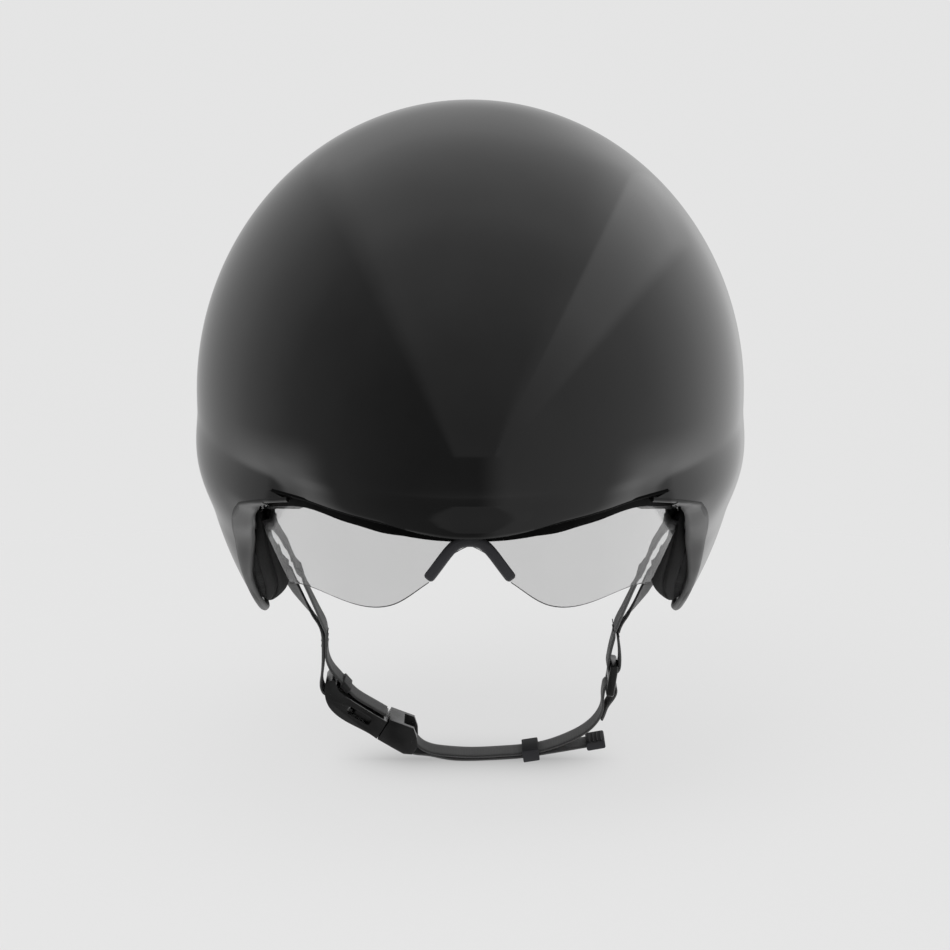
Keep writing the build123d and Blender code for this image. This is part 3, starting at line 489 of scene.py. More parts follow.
class Nodes:
    """A node tree, with short ways to add and join nodes."""

    def __init__(self, tree: bpy.types.NodeTree) -> None:
        """Empties a node tree.

        Args:
            tree: The tree of a material or a world.
        """
        self.links = tree.links
        self.nodes = tree.nodes
        self.nodes.clear()

    def join(self, source: bpy.types.NodeSocket, target: bpy.types.NodeSocket) -> None:
        """Links two sockets."""
        self.links.new(source, target)

    def feed(self, target: bpy.types.NodeSocket, value: object) -> None:
        """Links a socket to another one, or sets its value.

        Args:
            target: An input socket.
            value: An output socket, or what the input is set to.
        """
        if isinstance(value, bpy.types.NodeSocket):
            self.join(value, target)
        else:
            target.default_value = value

    def add(self, kind: str, **values: object) -> bpy.types.Node:
        """Adds a node and sets its inputs or settings.

        Args:
            kind: The node's type, without its ShaderNode prefix.
            **values: Sockets, numbers or settings, by the input's name with _ for a space.

        Returns:
            The node.
        """
        node = self.nodes.new("ShaderNode" + kind)
        for key, value in values.items():
            if hasattr(node, key):
                setattr(node, key, value)
            else:
                self.feed(node.inputs[key.replace("_", " ")], value)
        return node

    def maths(self, operation: str, *values: object) -> bpy.types.NodeSocket:
        """Adds a Math node.

        Args:
            operation: What it does.
            *values: Its inputs, as sockets or numbers.

        Returns:
            Its output.
        """
        node = self.add("Math", operation=operation)
        for socket, value in zip(node.inputs, values):
            self.feed(socket, value)
        return node.outputs[0]

    def mixed(self, share: bpy.types.NodeSocket, first: bpy.types.Node,
              second: bpy.types.Node) -> bpy.types.Node:
        """Mixes two shaders.

        Args:
            share: How much of the second shows, from 0 to 1.
            first: The first shader.
            second: The second shader.

        Returns:
            The node that mixes them.
        """
        node = self.add("MixShader", Fac=share)
        self.join(first.outputs[0], node.inputs[1])
        self.join(second.outputs[0], node.inputs[2])
        return node

    def ramp(self, source: bpy.types.NodeSocket, low: float, high: float, low_value: float,
             high_value: float, smooth: bool = False) -> bpy.types.NodeSocket:
        """Maps a range of a value to another range.

        Args:
            source: The value.
            low: The start of its range.
            high: The end of its range.
            low_value: What the start becomes.
            high_value: What the end becomes.
            smooth: Whether it starts and ends gently.

        Returns:
            The mapped value.
        """
        node = self.nodes.new("ShaderNodeMapRange")
        node.interpolation_type = "SMOOTHSTEP" if smooth else "LINEAR"
        self.join(source, node.inputs["Value"])
        for key, value in (("From Min", low), ("From Max", high), ("To Min", low_value),
                           ("To Max", high_value)):
            node.inputs[key].default_value = value
        return node.outputs["Result"]

    def stops(self, source: bpy.types.NodeSocket, stops: Sequence[Place]) -> bpy.types.NodeSocket:
        """Runs a grey through stops.

        Args:
            source: The value, from 0 to 1.
            stops: The stops, as (value, tone).

        Returns:
            The grey.
        """
        node = self.nodes.new("ShaderNodeValToRGB")
        self.join(source, node.inputs["Fac"])
        elements = node.color_ramp.elements
        while len(elements) < len(stops):
            elements.new(0.5)
        for element, (position, tone) in zip(elements, stops):
            element.position = position
            element.color = (*grey(tone), 1)
        return node.outputs["Color"]


class Tree(Nodes):
    """A material's node tree."""

    def __init__(self, name: str) -> None:
        """Starts a material with its output and shader.

        Args:
            name: The material's name.
        """
        self.material = bpy.data.materials.new(name)
        self.material.use_nodes = True
        super().__init__(self.material.node_tree)
        self.out = self.nodes.new("ShaderNodeOutputMaterial")
        self.shader = self.nodes.new("ShaderNodeBsdfPrincipled")
        self.join(self.shader.outputs[0], self.out.inputs["Surface"])
        self.place = self.nodes.new("ShaderNodeTexCoord").outputs["Object"]

    def noise(self, scale: float, detail: float,
              place: bpy.types.NodeSocket | None = None) -> bpy.types.NodeSocket:
        """Returns a noise of so many waves to the metre."""
        return self.add("TexNoise", Vector=place or self.place, Scale=scale, Detail=detail).outputs["Fac"]

    def cells(self, scale: float, feature: str = "F1") -> bpy.types.NodeSocket:
        """Returns the distance output of a cell pattern."""
        return self.add("TexVoronoi", feature=feature, Vector=self.place, Scale=scale).outputs["Distance"]

    def tones(self, source: bpy.types.NodeSocket, dark: Point, light: Point, low: float = 0.35,
              high: float = 0.65) -> bpy.types.NodeSocket:
        """Turns a value into a colour.

        Args:
            source: The value.
            dark: The colour up to low.
            light: The colour from high on.
            low: Where the colour starts to change.
            high: Where it ends.

        Returns:
            The colour.
        """
        node = self.nodes.new("ShaderNodeValToRGB")
        self.join(source, node.inputs["Fac"])
        node.color_ramp.elements[0].position = low
        node.color_ramp.elements[0].color = (*dark, 1)
        node.color_ramp.elements[1].position = high
        node.color_ramp.elements[1].color = (*light, 1)
        return node.outputs["Color"]

    def uneven(self, source: bpy.types.NodeSocket, low: float, high: float) -> bpy.types.NodeSocket:
        """Returns a roughness that goes from low to high over the middle of a noise."""
        return self.ramp(source, 0.3, 0.7, low, high)

    def bump(self, height: bpy.types.NodeSocket, distance: float, strength: float = 1.0,
             under: bpy.types.NodeSocket | None = None) -> bpy.types.NodeSocket:
        """Adds a bump.

        Args:
            height: Its height, from 0 to 1.
            distance: What a height of 1 stands for, in millimetres.
            strength: How much of it shows.
            under: The bump that it lies on, if there is one.

        Returns:
            The bumped normal.
        """
        node = self.add("Bump", Height=height, Distance=distance * MM, Strength=strength)
        if under is not None:
            self.join(under, node.inputs["Normal"])
        return node.outputs["Normal"]

    def finish(self, **values: object) -> bpy.types.Material:
        """Completes the material.

        Args:
            **values: Sockets or numbers for the shader, by the input's name with _ for a space.

        Returns:
            The material.
        """
        for key, value in values.items():
            self.feed(self.shader.inputs[key.replace("_", " ")], value)
        return self.material

    def shade(self, shader: bpy.types.Node) -> bpy.types.Material:
        """Completes the material with another shader in place of its own.

        Args:
            shader: The other shader.

        Returns:
            The material.
        """
        self.nodes.remove(self.shader)
        self.join(shader.outputs[0], self.out.inputs["Surface"])
        return self.material


def grey(tone: float) -> Point:
    """Returns a neutral colour."""
    return (tone, tone, tone)


@dataclass(frozen=True)
class Finish:
    """A surface finish: a name, a slot name, and its main numbers."""

    name: str
    slot: str
    tone: float = 0.02
    roughness: float = 0.4

    def build(self) -> bpy.types.Material:
        """Returns the material, made once."""
        return bpy.data.materials.get(self.name) or self.make(Tree(self.name))

    def make(self, tree: Tree) -> bpy.types.Material:
        """Fills the tree; each kind of finish has its own."""
        raise NotImplementedError

    def coat(self, piece: bpy.types.Object) -> None:
        """Gives the finish to a piece."""
        piece.data.materials.clear()
        piece.data.materials.append(self.build())


@dataclass(frozen=True)
class Gloss(Finish):
    """Black lacquer with a faint orange peel and the lightest dust."""

    peel: float = 0.004
    peel_scale: float = 240
    dust_scale: float = 38

    def make(self, tree: Tree) -> bpy.types.Material:
        """Fills the tree with lacquer.

        Args:
            tree: The tree of a new material.

        Returns:
            The material.
        """
        peel = tree.noise(self.peel_scale, 2)
        dust = tree.noise(self.dust_scale, 5)
        return tree.finish(
            Base_Color=tree.tones(dust, grey(self.tone * 0.8), grey(self.tone * 1.25)),
            Roughness=tree.ramp(dust, 0.35, 0.7, self.roughness, self.roughness + 0.03),
            Normal=tree.bump(peel, self.peel), IOR=1.5)


@dataclass(frozen=True)
class Moulded(Finish):
    """Moulded plastic with a fine spark texture and slightly uneven gloss."""

    grain: float = 0.03
    grain_scale: float = 1500
    shine: float = 0.5
    cloud_scale: float = 90

    def make(self, tree: Tree) -> bpy.types.Material:
        """Fills the tree with moulded plastic.

        Args:
            tree: The tree of a new material.

        Returns:
            The material.
        """
        grain = tree.noise(self.grain_scale, 2)
        cloud = tree.noise(self.cloud_scale, 4)
        return tree.finish(
            Base_Color=tree.tones(cloud, grey(self.tone * 0.8), grey(self.tone * 1.3)),
            Roughness=tree.uneven(cloud, self.roughness - 0.05, self.roughness + 0.08),
            Normal=tree.bump(grain, self.grain, 0.6), Specular_IOR_Level=self.shine)


@dataclass(frozen=True)
class Rubber(Finish):
    """Soft matt rubber."""

    grain_scale: float = 2600
    wear_scale: float = 140

    def make(self, tree: Tree) -> bpy.types.Material:
        """Fills the tree with rubber.

        Args:
            tree: The tree of a new material.

        Returns:
            The material.
        """
        grain = tree.noise(self.grain_scale, 3)
        wear = tree.noise(self.wear_scale, 5)
        return tree.finish(
            Base_Color=tree.tones(wear, grey(self.tone * 0.8), grey(self.tone * 1.5)),
            Roughness=tree.uneven(wear, self.roughness - 0.06, self.roughness + 0.1),
            Normal=tree.bump(grain, 0.02, 0.5), Specular_IOR_Level=0.12, Sheen_Weight=0.02,
            Sheen_Roughness=0.5)


@dataclass(frozen=True)
class Foam(Finish):
    """Moulded foam of pressed beads."""

    bead: float = 2.6
    seam: float = 0.12
    grain_scale: float = 2200

    def make(self, tree: Tree) -> bpy.types.Material:
        """Fills the tree with beads.

        Args:
            tree: The tree of a new material.

        Returns:
            The material.
        """
        edges = tree.cells(1000 / self.bead, "DISTANCE_TO_EDGE")
        seam = tree.ramp(edges, 0.0, self.seam, 0.0, 1.0)
        grain = tree.noise(self.grain_scale, 2)
        return tree.finish(
            Base_Color=tree.tones(seam, grey(self.tone * 0.55), grey(self.tone * 1.1), 0.0, 0.8),
            Roughness=tree.uneven(grain, self.roughness, self.roughness + 0.15),
            Normal=tree.bump(seam, 0.14, 0.8, tree.bump(grain, 0.03, 0.5)))


@dataclass(frozen=True)
class Cloth(Finish):
    """Knitted cover of a comfort pad, with a fine mesh of holes."""

    pitch: float = 0.8
    sheen: float = 0.12
    cloud_scale: float = 120
    fuzz_scale: float = 4000

    def make(self, tree: Tree) -> bpy.types.Material:
        """Fills the tree with a knit.

        Args:
            tree: The tree of a new material.

        Returns:
            The material.
        """
        cell = tree.cells(1000 / self.pitch)
        loop = tree.ramp(cell, 0.1, 0.6, 0.0, 1.0)
        cloud = tree.noise(self.cloud_scale, 4)
        fuzz = tree.noise(self.fuzz_scale, 2)
        # Painted shade: the knit's colour is darker in the holes that the bump presses in, mixed with a
        # random cloud of tone
        shade = tree.maths("ADD", tree.maths("MULTIPLY", loop, 0.6), tree.maths("MULTIPLY", cloud, 0.4))
        return tree.finish(
            Base_Color=tree.tones(shade, grey(self.tone * 0.45), grey(self.tone * 1.5), 0.1, 0.8),
            Roughness=tree.uneven(fuzz, self.roughness - 0.1, self.roughness),
            Normal=tree.bump(loop, 0.12, 0.7, tree.bump(fuzz, 0.05, 0.4)),
            Specular_IOR_Level=0.2, Sheen_Weight=self.sheen, Sheen_Roughness=0.4)


@dataclass(frozen=True)
class Woven(Finish):
    """Woven webbing: rows of weft over warp ribs, from the piece's own UV map in metres."""

    pitch_across: float = 1.5
    pitch_along: float = 1.1
    cloud_scale: float = 70
    fuzz_scale: float = 5000

    def make(self, tree: Tree) -> bpy.types.Material:
        """Fills the tree with a weave.

        Args:
            tree: The tree of a new material.

        Returns:
            The material.
        """
        uv = tree.add("UVMap", uv_map="UVMap").outputs["UV"]
        axes = tree.add("SeparateXYZ", Vector=uv)
        across = tree.maths("MULTIPLY", axes.outputs["X"], 2 * math.pi / (self.pitch_across * MM))
        along = tree.maths("MULTIPLY", axes.outputs["Y"], 2 * math.pi / (self.pitch_along * MM))
        rib = tree.maths("SINE", across)
        weft = tree.maths("SINE", tree.maths("ADD", along, tree.maths("MULTIPLY", rib, 1.6)))
        height = tree.maths("ADD", tree.maths("MULTIPLY", rib, 0.35), tree.maths("MULTIPLY", weft, 0.4))
        fuzz = tree.noise(self.fuzz_scale, 2)
        cloud = tree.noise(self.cloud_scale, 3)
        # Painted shade: the weave's colour is darker in its hollows and lighter on its raised threads, with a
        # random cloud of tone
        shade = tree.maths("ADD", tree.maths("MULTIPLY", height, 0.5), cloud)
        return tree.finish(
            Base_Color=tree.tones(shade, grey(self.tone * 0.6), grey(self.tone * 1.35), 0.1, 0.95),
            Roughness=tree.uneven(fuzz, self.roughness - 0.1, self.roughness + 0.05),
            Normal=tree.bump(height, 0.09, 0.7, tree.bump(fuzz, 0.03, 0.4)),
            Sheen_Weight=0.25, Sheen_Roughness=0.45)


@dataclass(frozen=True)
class ClearLens(Finish):
    """A clear, lightly smoked lens with faint smears in its gloss."""

    smear_scale: float = 60

    def make(self, tree: Tree) -> bpy.types.Material:
        """Fills the tree with the lens's plastic.

        Args:
            tree: The tree of a new material.

        Returns:
            The material.
        """
        smear = tree.noise(self.smear_scale, 5)
        return tree.finish(
            Base_Color=tree.tones(smear, grey(self.tone * 0.985), grey(self.tone)),
            Roughness=tree.ramp(smear, 0.4, 0.75, 0.0, 0.02),
            Transmission_Weight=1.0, IOR=1.5)


@dataclass(frozen=True)
class Metal(Finish):
    """Plated metal with fine brushing."""

    brush_scale: float = 700
    brush_stretch: Point = (1, 14, 1)

    def make(self, tree: Tree) -> bpy.types.Material:
        """Fills the tree with plated metal.

        Args:
            tree: The tree of a new material.

        Returns:
            The material.
        """
        stretched = tree.add("Mapping", Vector=tree.place, Scale=self.brush_stretch).outputs["Vector"]
        lines = tree.noise(self.brush_scale, 3, stretched)
        return tree.finish(
            Base_Color=tree.tones(lines, grey(self.tone * 0.85), grey(self.tone)),
            Roughness=tree.uneven(lines, self.roughness - 0.06, self.roughness + 0.08),
            Normal=tree.bump(lines, 0.01, 0.5), Metallic=1.0)


class Finishes:
    """Every finish of the helmet."""

    shell = Gloss("shell_lacquer", "shell_gloss", 0.0045, 0.05)
    trim = Moulded("edge_trim", "trim", 0.008, 0.45, shine=0.25)
    lip = Moulded("lip_plastic", "trim", 0.014, 0.42, shine=0.3)
    foam = Foam("pressed_foam", "foam", 0.03, 0.75)
    vent = Moulded("vent_plastic", "vent", 0.012, 0.4)
    padding = Cloth("pad_knit", "padding", 0.008, 0.9)
    lining = Cloth("lining_knit", "padding", 0.004, 0.92, sheen=0.04)
    thread = Cloth("sewing_thread", "webbing", 0.05, 0.8, 0.3)
    lens = ClearLens("lens_plastic", "lens", 0.72, 0.02)
    rail = Moulded("rail_plastic", "rail", 0.003, 0.5, 0.012, shine=0.02)
    seal = Moulded("brow_seal", "trim", 0.003, 0.6, shine=0.02)
    rubber = Rubber("soft_rubber", "soft_rubber", 0.004, 0.62)
    magnet = Metal("plated_magnet", "magnet", 0.62, 0.3)
    band = Moulded("band_plastic", "fit_plastic", 0.010, 0.45, shine=0.25)
    pinion = Moulded("pinion_plastic", "pinion_plastic", 0.55, 0.35)
    webbing = Woven("strap_weave", "webbing", 0.07, 0.75)
    elastic = Woven("elastic_weave", "elastic", 0.02, 0.8, 0.7, 0.7)
    buckle = Moulded("buckle_plastic", "buckle", 0.008, 0.24, 0.012)


def dress(piece: bpy.types.Object, finish: Finish, nodes: Sequence[str]) -> None:
    """Gives a piece its finish and hides the CAD nodes that it stands for.

    Args:
        piece: The finished piece.
        finish: Its finish.
        nodes: The CAD nodes that it stands for.
    """
    finish.coat(piece)
    if nodes:
        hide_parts(*nodes)
    log.info("%s: %d faces", piece.name, len(piece.data.polygons))


def place_piece(piece: bpy.types.Object, finish: Finish, body: Body, *nodes: str) -> None:
    """Gives a piece its finish, hides the CAD nodes that it stands for, and sets it on the body that it rides
    on.

    Args:
        piece: The finished piece.
        finish: Its finish.
        body: The body that it rides on.
        *nodes: The CAD nodes that it stands for.
    """
    dress(piece, finish, nodes)
    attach(piece, body.value)


def place_blend(piece: bpy.types.Object, finish: Finish, first: Body, second: Body, start: np.ndarray,
                end: np.ndarray, *nodes: str) -> None:
    """Gives a piece its finish, hides the CAD nodes that it stands for, and bakes its transform into its
    mesh.

    Args:
        piece: The finished piece.
        finish: Its finish.
        first: Not used; the body that it would follow before the start.
        second: Not used; the body that it would follow after the end.
        start: Where the bend starts, in metres.
        end: Where the bend ends, in metres.
        *nodes: The CAD nodes that it stands for.
    """
    dress(piece, finish, nodes)
    tuple(start)
    tuple(end)
    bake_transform(piece)


# The shell


@dataclass
class Shell:
    """The glossy shell: a dome and a brow that flow into each other, a cut-off tail and a lower edge."""

    half_width: float = 108.0
    front: float = 146.0
    rear: float = 172.0
    crown: float = 113.0
    lower: float = 136.0
    station: float = 16.0
    wall: float = 2.0
    brow_half_width: float = 107.2
    brow_reach: float = 147.0
    brow_rise: float = 50.0
    brow_drop: float = 48.0
    brow_station: float = 15.0
    brow_level: float = -20.0
    brow_lean: float = 7.0
    tail_station: float = 160.0
    tail_lean: float = 12.0
    crease: float = 6.0
    tail_round: float = 7.0
    vent_size: tuple[float, float, float] = (82.0, 40.0, 15.0)
    vent_level: float = 4.0
    brow_edge: tuple[Place, ...] = ((-1.14, 0.300), (-1.003, 0.238), (-0.953, 0.205), (-0.905, 0.190),
                                    (-0.862, 0.180), (-0.800, 0.167), (-0.723, 0.159))
    tongue: tuple[Place, ...] = ((-0.760, 0.176), (-0.6815, 0.197), (-0.599, 0.2206))
    ear_edge: tuple[Place, ...] = ((-0.599, 0.2206), (-0.520, 0.280), (-0.440, 0.344), (-0.389, 0.402),
                                   (-0.246, 0.551), (-0.082, 0.638), (0.035, 0.608), (0.169, 0.500),
                                   (0.372, 0.404), (0.576, 0.346), (1.070, 0.220))
    roll_heights: Place = (4.0, 15.0)
    roll_depths: Place = (1.1, 3.0)
    roll_limit: float = 1.4
    roll_fade: float = 14.0
    skin_steps: int = 108
    hollow_steps: int = 56
    skin_weld: float = 0.02
    sharp_angle: float = 32.0
    cut_spare: float = 20.0
    vent_cut: float = 14.0
    rim_radius: float = 1.15
    rim_steps: int = 900
    rim_lifts: Place = (-80.0, 40.0)
    boundless: float = 1e4

    @property
    def centre(self) -> np.ndarray:
        """The point that the shell is seen from when its reach is measured."""
        return np.array([0.0, self.station, 0.0])

    def side_places(self, shares: Iterable[Place]) -> np.ndarray:
        """Returns side-view places (y, z) from shares of the reach and depth."""
        return np.array([(self.station + (self.front if a < 0 else self.rear) * a, -self.lower * b)
                         for a, b in shares])

    def dome_reach(self, ways: np.ndarray, inset: float = 0.0) -> np.ndarray:
        """Returns how far the dome is from the centre.

        Args:
            ways: Unit directions, one row each.
            inset: How far the dome is drawn in.

        Returns:
            One distance for each direction.
        """
        deep = np.where(ways[:, 1] < 0, self.front, self.rear) - inset
        high = np.where(ways[:, 2] > 0, self.crown, self.lower) - inset
        return 1 / np.sqrt((ways[:, 0] / (self.half_width - inset)) ** 2 + (ways[:, 1] / deep) ** 2
                           + (ways[:, 2] / high) ** 2)

    def brow_distance(self, ways: np.ndarray, inset: float = 0.0) -> np.ndarray:
        """Returns how far the brow's egg is from the centre.

        Args:
            ways: Unit directions, one row each.
            inset: How far the egg is drawn in.

        Returns:
            One distance for each direction.
        """
        lean = math.radians(self.brow_lean)
        turn = np.array([[1, 0, 0], [0, math.cos(lean), math.sin(lean)],
                         [0, -math.sin(lean), math.cos(lean)]])
        start = turn @ (self.centre - np.array([0.0, self.brow_station, self.brow_level]))
        local = ways @ turn.T
        found = []
        for high in (self.brow_rise, self.brow_drop):
            size = np.array([self.brow_half_width, self.brow_reach, high]) - inset
            a = ((local / size) ** 2).sum(1)
            b = (local / size * (start / size)).sum(1)
            c = ((start / size) ** 2).sum() - 1
            found.append((-b + np.sqrt(np.maximum(b * b - a * c, 0))) / a)
        return np.where(start[2] + found[0] * local[:, 2] > 0, found[0], found[1])

    def reach(self, ways: np.ndarray, inset: float = 0.0, brow: bool = True) -> np.ndarray:
        """Returns the shell's distance from its centre.

        Args:
            ways: Unit directions, one row each.
            inset: How far the surface is drawn in.
            brow: Whether the brow stands out of it.

        Returns:
            One distance for each direction.
        """
        far = self.dome_reach(ways, inset)
        if brow:
            other = self.brow_distance(ways, inset)
            share = np.clip(0.5 + 0.5 * (far - other) / self.crease, 0, 1)
            far = other * (1 - share) + far * share + self.crease * share * (1 - share)
            spots = self.centre + ways * far[:, None]
            edge = self.side_places(self.brow_edge)
            turn = np.clip((spots[:, 1] - edge[1, 0]) / (edge[-1, 0] - edge[1, 0]), 0, 1)
            height = self.roll_heights[0] + (self.roll_heights[1] - self.roll_heights[0]) * turn
            depth = self.roll_depths[0] + (self.roll_depths[1] - self.roll_depths[0]) * turn
            above = np.clip(1 - (spots[:, 2] - np.interp(spots[:, 1], edge[:, 0], edge[:, 1])) / height,
                            0, self.roll_limit)
            far = far - depth * above ** 2 * np.clip((edge[-1, 0] - spots[:, 1]) / self.roll_fade, 0, 1)
        lean = math.radians(self.tail_lean)
        normal = np.array([0.0, math.cos(lean), -math.sin(lean)])
        rate = ways @ normal
        flat = (normal[1] * (self.tail_station - self.station) - inset) / np.maximum(rate, 1e-6)
        flat = np.where(rate > 1e-6, np.minimum(flat, self.boundless), self.boundless)
        share = np.clip(0.5 + 0.5 * (flat - far) / self.tail_round, 0, 1)
        return flat * (1 - share) + far * share - self.tail_round * share * (1 - share)

    def outside(self, spots: np.ndarray) -> np.ndarray:
        """Measures points from the shell, along the line to its centre.

        Args:
            spots: The points, one row each.

        Returns:
            How far outside it each one is, which is below 0 for those within.
        """
        away = spots - self.centre
        far = np.linalg.norm(away, axis=1)
        return far - self.reach(away / far[:, None])

    def skin(self, name: str, steps: int, inset: float = 0.0, brow: bool = True) -> bpy.types.Object:
        """Makes a closed skin from an even net of directions.

        Args:
            name: The object's name.
            steps: Faces along each side of the net's six fields.
            inset: How far the skin is drawn in.
            brow: Whether the brow stands out of it.

        Returns:
            The skin.
        """
        run = np.tan(np.linspace(-math.pi / 4, math.pi / 4, steps + 1))
        u, v = (grid.ravel() for grid in np.meshgrid(run, run))
        one = np.ones_like(u)
        fields = ((one, u, v), (-one, -u, v), (-u, one, v), (u, -one, v), (-v, u, one), (v, u, -one))
        points, faces = [], []
        side = steps + 1
        for number, parts in enumerate(fields):
            ways = normed(np.stack(parts, axis=1))
            points.append(self.centre + ways * self.reach(ways, inset, brow)[:, None])
            base = number * side * side
            for j in range(steps):
                for i in range(steps):
                    a = base + j * side + i
                    faces.append((a, a + 1, a + side + 1, a + side))
        piece = mesh_piece(name, np.concatenate(points), faces)
        face_outward(piece, self.skin_weld)
        piece.data.shade_smooth()
        return piece

    def under(self) -> bpy.types.Object:
        """Makes the block under the lower edge, with the slot at each end of the brow.

        Returns:
            The block, which is cut away.
        """
        brow = smooth_line(self.side_places(self.brow_edge), 70)
        ear = smooth_line(self.side_places(self.ear_edge), 150)
        wide, deep = self.half_width + self.cut_spare, -self.lower - self.cut_spare
        outline = np.concatenate((brow, self.side_places(self.tongue)[:-1], ear,
                                  [(ear[-1, 0], deep), (brow[0, 0], deep)]))
        return extruded("under", outline, (0, 0, 0), (0, 1, 0), (0, 0, 1), -wide, wide)

    def vent_hole(self) -> bpy.types.Object:
        """Makes the block that opens the tail for its vent.

        Returns:
            The block, which is cut away.
        """
        width, height, corner = self.vent_size
        lean = math.radians(self.tail_lean)
        return extruded("vent_hole", rounded_box(width, height, corner, 8),
                        (0, self.tail_station + self.vent_level * math.tan(lean), self.vent_level),
                        (-1, 0, 0), (0, math.sin(lean), math.cos(lean)), -self.vent_cut, self.vent_cut)

    def edge_line(self, places: np.ndarray, lowest: float, highest: float) -> np.ndarray:
        """Finds the middle of the wall along the lower edge, from one side round to the other.

        Args:
            places: The edge in the side view, (y, z), with y rising.
            lowest: The least y of this stretch.
            highest: The greatest y of this stretch.

        Returns:
            The stretch's points.
        """
        turns = np.linspace(-math.pi / 2, 3 * math.pi / 2, self.rim_steps, endpoint=False)

        def at(lifts: np.ndarray) -> np.ndarray:
            """Returns the wall's middle all round, at these angles above the level."""
            ways = np.stack((np.cos(turns) * np.cos(lifts), np.sin(turns) * np.cos(lifts), np.sin(lifts)), 1)
            return self.centre + ways * self.reach(ways, self.wall / 2)[:, None]

        def under_edge(lifts: np.ndarray) -> np.ndarray:
            """Tells which angles end at or under the edge."""
            spots = at(lifts)
            return spots[:, 2] <= np.interp(spots[:, 1], places[:, 0], places[:, 1])

        low, high = (np.full(self.rim_steps, math.radians(lift)) for lift in self.rim_lifts)
        spots = at(closed_in(low, high, under_edge))
        inside = (spots[:, 1] >= lowest) & (spots[:, 1] <= highest)
        start = int(np.argmax(inside & ~np.roll(inside, 1)))
        order = np.roll(np.arange(self.rim_steps), -start)
        return spots[order[inside[order]]]

    def rims(self) -> list[bpy.types.Object]:
        """Makes the rounded rim along the brow, and along the ear covers and the tail.

        Returns:
            The brow's rim and the other one.
        """
        brow = smooth_line(self.side_places(self.brow_edge), 200)
        ear = np.concatenate((self.side_places(self.tongue)[:-1],
                              smooth_line(self.side_places(self.ear_edge), 400)))
        made = []
        for name, places, low, high in (("brow_rim", brow, -math.inf, float(brow[-1, 0])),
                                        ("ear_rim", ear, float(ear[0, 0]), math.inf)):
            line = self.edge_line(places, low, high)
            made.append(ribbon(name, line, np.array([0.0, 0.0, 1.0]), round_section(self.rim_radius, 10)))
        return made

    def build(self) -> None:
        """Makes the shell and its rims."""
        shell = self.skin("lacquer_shell", self.skin_steps)
        carve(shell, self.skin("hollow", self.hollow_steps, self.wall, False))
        carve(shell, self.under())
        carve(shell, self.vent_hole())
        shell.data.shade_smooth()
        shell.data.set_sharp_from_angle(angle=math.radians(self.sharp_angle))
        place_piece(shell, Finishes.shell, Body.HELMET, "outer_shell")
        for rim, finish in zip(self.rims(), (Finishes.seal, Finishes.trim)):
            place_piece(rim, finish, Body.HELMET)


# Reworked plastic pieces


@dataclass(frozen=True)
class Rework:
    """A hard piece that keeps its CAD shape and gets rounded edges."""

    node: str
    name: str
    body: Body
    finish: Finish
    rounding: float
    segments: int = 2

    def build(self) -> None:
        """Makes the piece in place of its CAD node."""
        piece = from_frame(self.node, self.name)
        soften(piece, self.rounding, self.segments)
        place_piece(piece, self.finish, self.body, self.node)


REWORKS = (
    Rework("visor_rail", "visor_frame", Body.VISOR, Finishes.rail, 0.5),
    Rework("tail_vent", "tail_grille", Body.HELMET, Finishes.vent, 0.35),
    Rework("strap_anchors", "web_anchors", Body.HELMET, Finishes.band, 0.5),
    Rework("band_pivots", "temple_pins", Body.HELMET, Finishes.band, 0.3),
    Rework("cradle_frame", "cradle_shell", Body.CRADLE, Finishes.band, 0.7, 3),
    Rework("dial_housing", "dial_case", Body.CRADLE, Finishes.band, 0.8, 3),
    Rework("dial_grip", "dial_tyre", Body.DIAL, Finishes.rubber, 0.3),
    Rework("length_slider", "length_bar", Body.HELMET, Finishes.buckle, 0.6, 3),
    Rework("buckle_socket", "buckle_body", Body.HELMET, Finishes.buckle, 0.8, 3),
    Rework("buckle_plug", "buckle_tongue", Body.PLUG, Finishes.buckle, 0.5, 3),
    Rework("release_arm_front", "front_finger", Body.FRONT_RELEASE, Finishes.buckle, 0.3),
    Rework("release_arm_rear", "rear_finger", Body.REAR_RELEASE, Finishes.buckle, 0.3),
    Rework("strap_keeper", "web_keeper", Body.KEEPER, Finishes.rubber, 0.35),
)


# Straps


